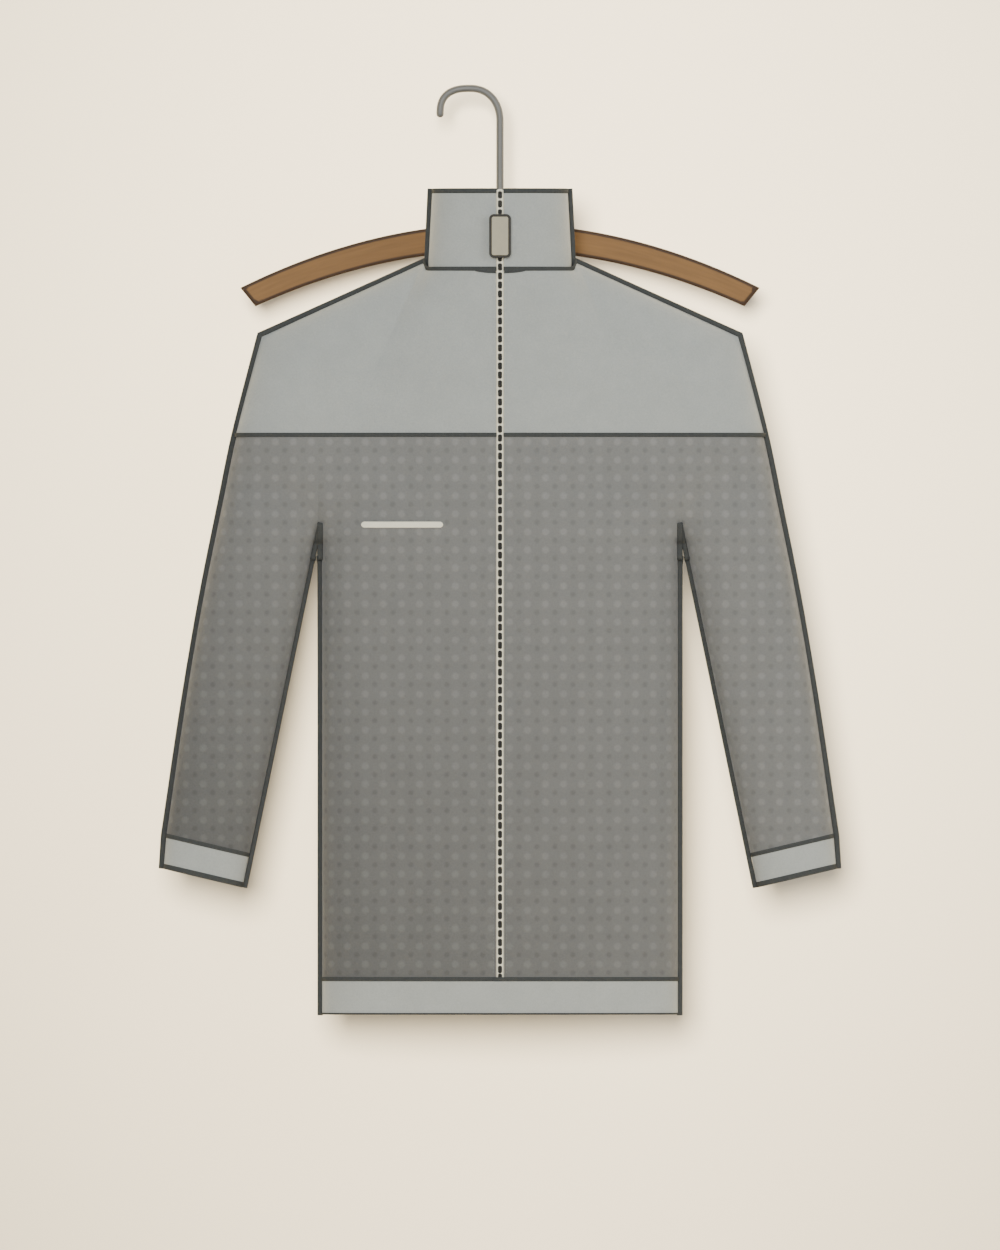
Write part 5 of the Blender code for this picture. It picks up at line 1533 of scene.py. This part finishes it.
LOOP_RADIUS, LOOP_HALF, LOOP_CLEAR = 1.5 * MM, 11 * MM, 0.1 * MM
gap = LOOP_RADIUS + SEAM
neck_y, rise_y = SIDE_SEAM_Y + COLLAR_BACK_FOOT + gap + LOOP_CLEAR, -BAR_THICK / 2 - gap
over_z = BAR_TOP_Z + gap + LOOP_CLEAR
half_loop = [
    (LOOP_HALF, neck_y + 2 * LOOP_CLEAR, NECK_BACK_Z - 4 * LOOP_RADIUS),
    (LOOP_HALF, neck_y, NECK_BACK_Z),
    (LOOP_HALF, rise_y, BAR_FOOT_Z),
    (LOOP_HALF, rise_y, BAR_TOP_Z - 4 * LOOP_RADIUS),
    (LOOP_HALF - LOOP_RADIUS / 2, rise_y, BAR_TOP_Z - LOOP_RADIUS / 2),
    (LOOP_HALF - LOOP_RADIUS, rise_y + LOOP_RADIUS, over_z - LOOP_RADIUS / 4),
    (LOOP_HALF - 2 * LOOP_RADIUS, rise_y + 2.5 * LOOP_RADIUS, over_z),
]
round_stem = [math.radians(turn) for turn in (-5, 20, 45, 70, 90)]
half_loop += [((WIRE / 2 + gap) * math.cos(turn), (WIRE / 2 + gap) * math.sin(turn), over_z) for turn in round_stem]
other_half = [(-x, y, z) for x, y, z in half_loop[-2::-1]]
loop_line = [Vector((HOOK_HALF + x, y, z)) for x, y, z in half_loop + other_half]


def softened(path, rounds):
    """The path with its bends rounded off, its ends kept."""
    for _ in range(rounds):
        between = [point for a, b in zip(path, path[1:]) for point in (a.lerp(b, 0.25), a.lerp(b, 0.75))]
        path = path[:1] + between + path[-1:]
    return path


loop_path = softened(loop_line, 2)
sideways = [Vector((0, 1, 0)) if abs(way.y) < 0.8 else UPWARDS for way in tangents(loop_path)]
bm = bmesh.new()
sweep(bm, loop_path, LOOP_RADIUS, LOOP_RADIUS, sideways, square=2)
finished("hanging_loop_cord", bm, braid, stands_for=["hanging_loop"])
print("loop length:", round(sum((b - a).length for a, b in zip(loop_path, loop_path[1:])) / MM), "mm")

# %% [markdown]
# ## Stitching
# Each tape is stitched down along both edges, in thread of its own colour, and the fronts are stitched beside the zip.
# A stitch is a short round bar, 2.3 mm long, that lies on the cloth; they are laid one after the other along lines.

# %% One stitch, and a line of them
STITCH_PITCH, STITCH_LONG, THREAD = 3.2 * MM, 2.3 * MM, 0.2 * MM
STITCH_SIDES = 5


def stitch(bm, start, end, out):
    """One stitch from start to end."""
    way = (end - start).normalized()
    across = way.cross(out).normalized()
    rings = []
    for share in (0.16, 0.84):
        centre = start.lerp(end, share)
        turns = [2 * math.pi * k / STITCH_SIDES for k in range(STITCH_SIDES)]
        rings.append([bm.verts.new(centre + (across * math.cos(t) + out * math.sin(t)) * THREAD) for t in turns])
    tips = [bm.verts.new(start), bm.verts.new(end)]
    for k in range(STITCH_SIDES):
        bm.faces.new((rings[0][k - 1], rings[0][k], rings[1][k], rings[1][k - 1]))
        bm.faces.new((tips[0], rings[0][k], rings[0][k - 1]))
        bm.faces.new((tips[1], rings[1][k - 1], rings[1][k]))


def stitch_line(bm, points, outs):
    """Stitches along the line through the points, at the thread's own height above them."""
    run, next_start, count = 0.0, 1.5 * MM, 0
    start = None
    for a, b, out in zip(points, points[1:], outs):
        length = (b - a).length
        while length > 0 and next_start < run + length:
            at = a.lerp(b, (next_start - run) / length) + out * THREAD * 0.5
            if start is None:
                start, next_start = at, next_start + STITCH_LONG
            else:
                stitch(bm, start, at, out)
                start, next_start, count = None, next_start + STITCH_PITCH - STITCH_LONG, count + 1
        run += length
    return count


# %% Thread
dark_thread, grey_thread, pale_thread = [
    patchy(name, color, 1200.0, 0.9, 1.1, 0.7, 0.2)
    for name, color in (("dark_thread", linear(76, 78, 76)), ("grey_thread", linear(124, 127, 126)),
                        ("pale_thread", linear(170, 174, 170)))]
STITCH_EDGE = 0.6               # the share of a tape's half width at which its stitches run

bm = bmesh.new()
count = 0
for path, outs, wide, proud, closed, faces in laid_tapes:
    ring = path + path[:1] if closed else path
    ways = tangents(path, closed)
    ways += ways[:1] if closed else []
    looks = outs + outs[:1] if closed else outs
    for face in faces:
        for edge in (-STITCH_EDGE, STITCH_EDGE):
            line = [point + look * face * proud + way.cross(look).normalized() * edge * wide
                    for point, way, look in zip(ring, ways, looks)]
            count += stitch_line(bm, line, [look * face for look in looks])
finished("tape_stitching", bm, dark_thread)

# %% Beside the zip
ZIP_STITCH_X, ZIP_STITCH_STEPS = 6.4 * MM, 120
ZIP_SEAMS = {
    "pale_zip_stitching": (pale_thread, (COLLAR_TOP_Z - 5 * MM, NECK_FRONT_Z + 5 * MM), (-175 * MM, -322 * MM)),
    "grey_zip_stitching": (grey_thread, (-331 * MM, -839 * MM)),
}
for name, (material, *spans) in ZIP_SEAMS.items():
    bm = bmesh.new()
    for top, foot in spans:
        levels = [mixed(top, foot, down) for down in shares(ZIP_STITCH_STEPS)]
        for side in (-1, 1):
            line = [Vector((CENTRE_X + side * ZIP_STITCH_X, centre_y(z), z)) for z in levels]
            if top < NECK_FRONT_Z:
                line = [on_cloth("front", side * ZIP_STITCH_X, z)[0] for z in levels]
            count += stitch_line(bm, line, [TOWARDS_VIEWER] * len(line))
    finished(name, bm, material)
print("stitches:", count)

# %% [markdown]

# %% [markdown]
# ## The pieces made
# How many pieces were made is printed.

# %% Finish
print("pieces made:", len(made_pieces))
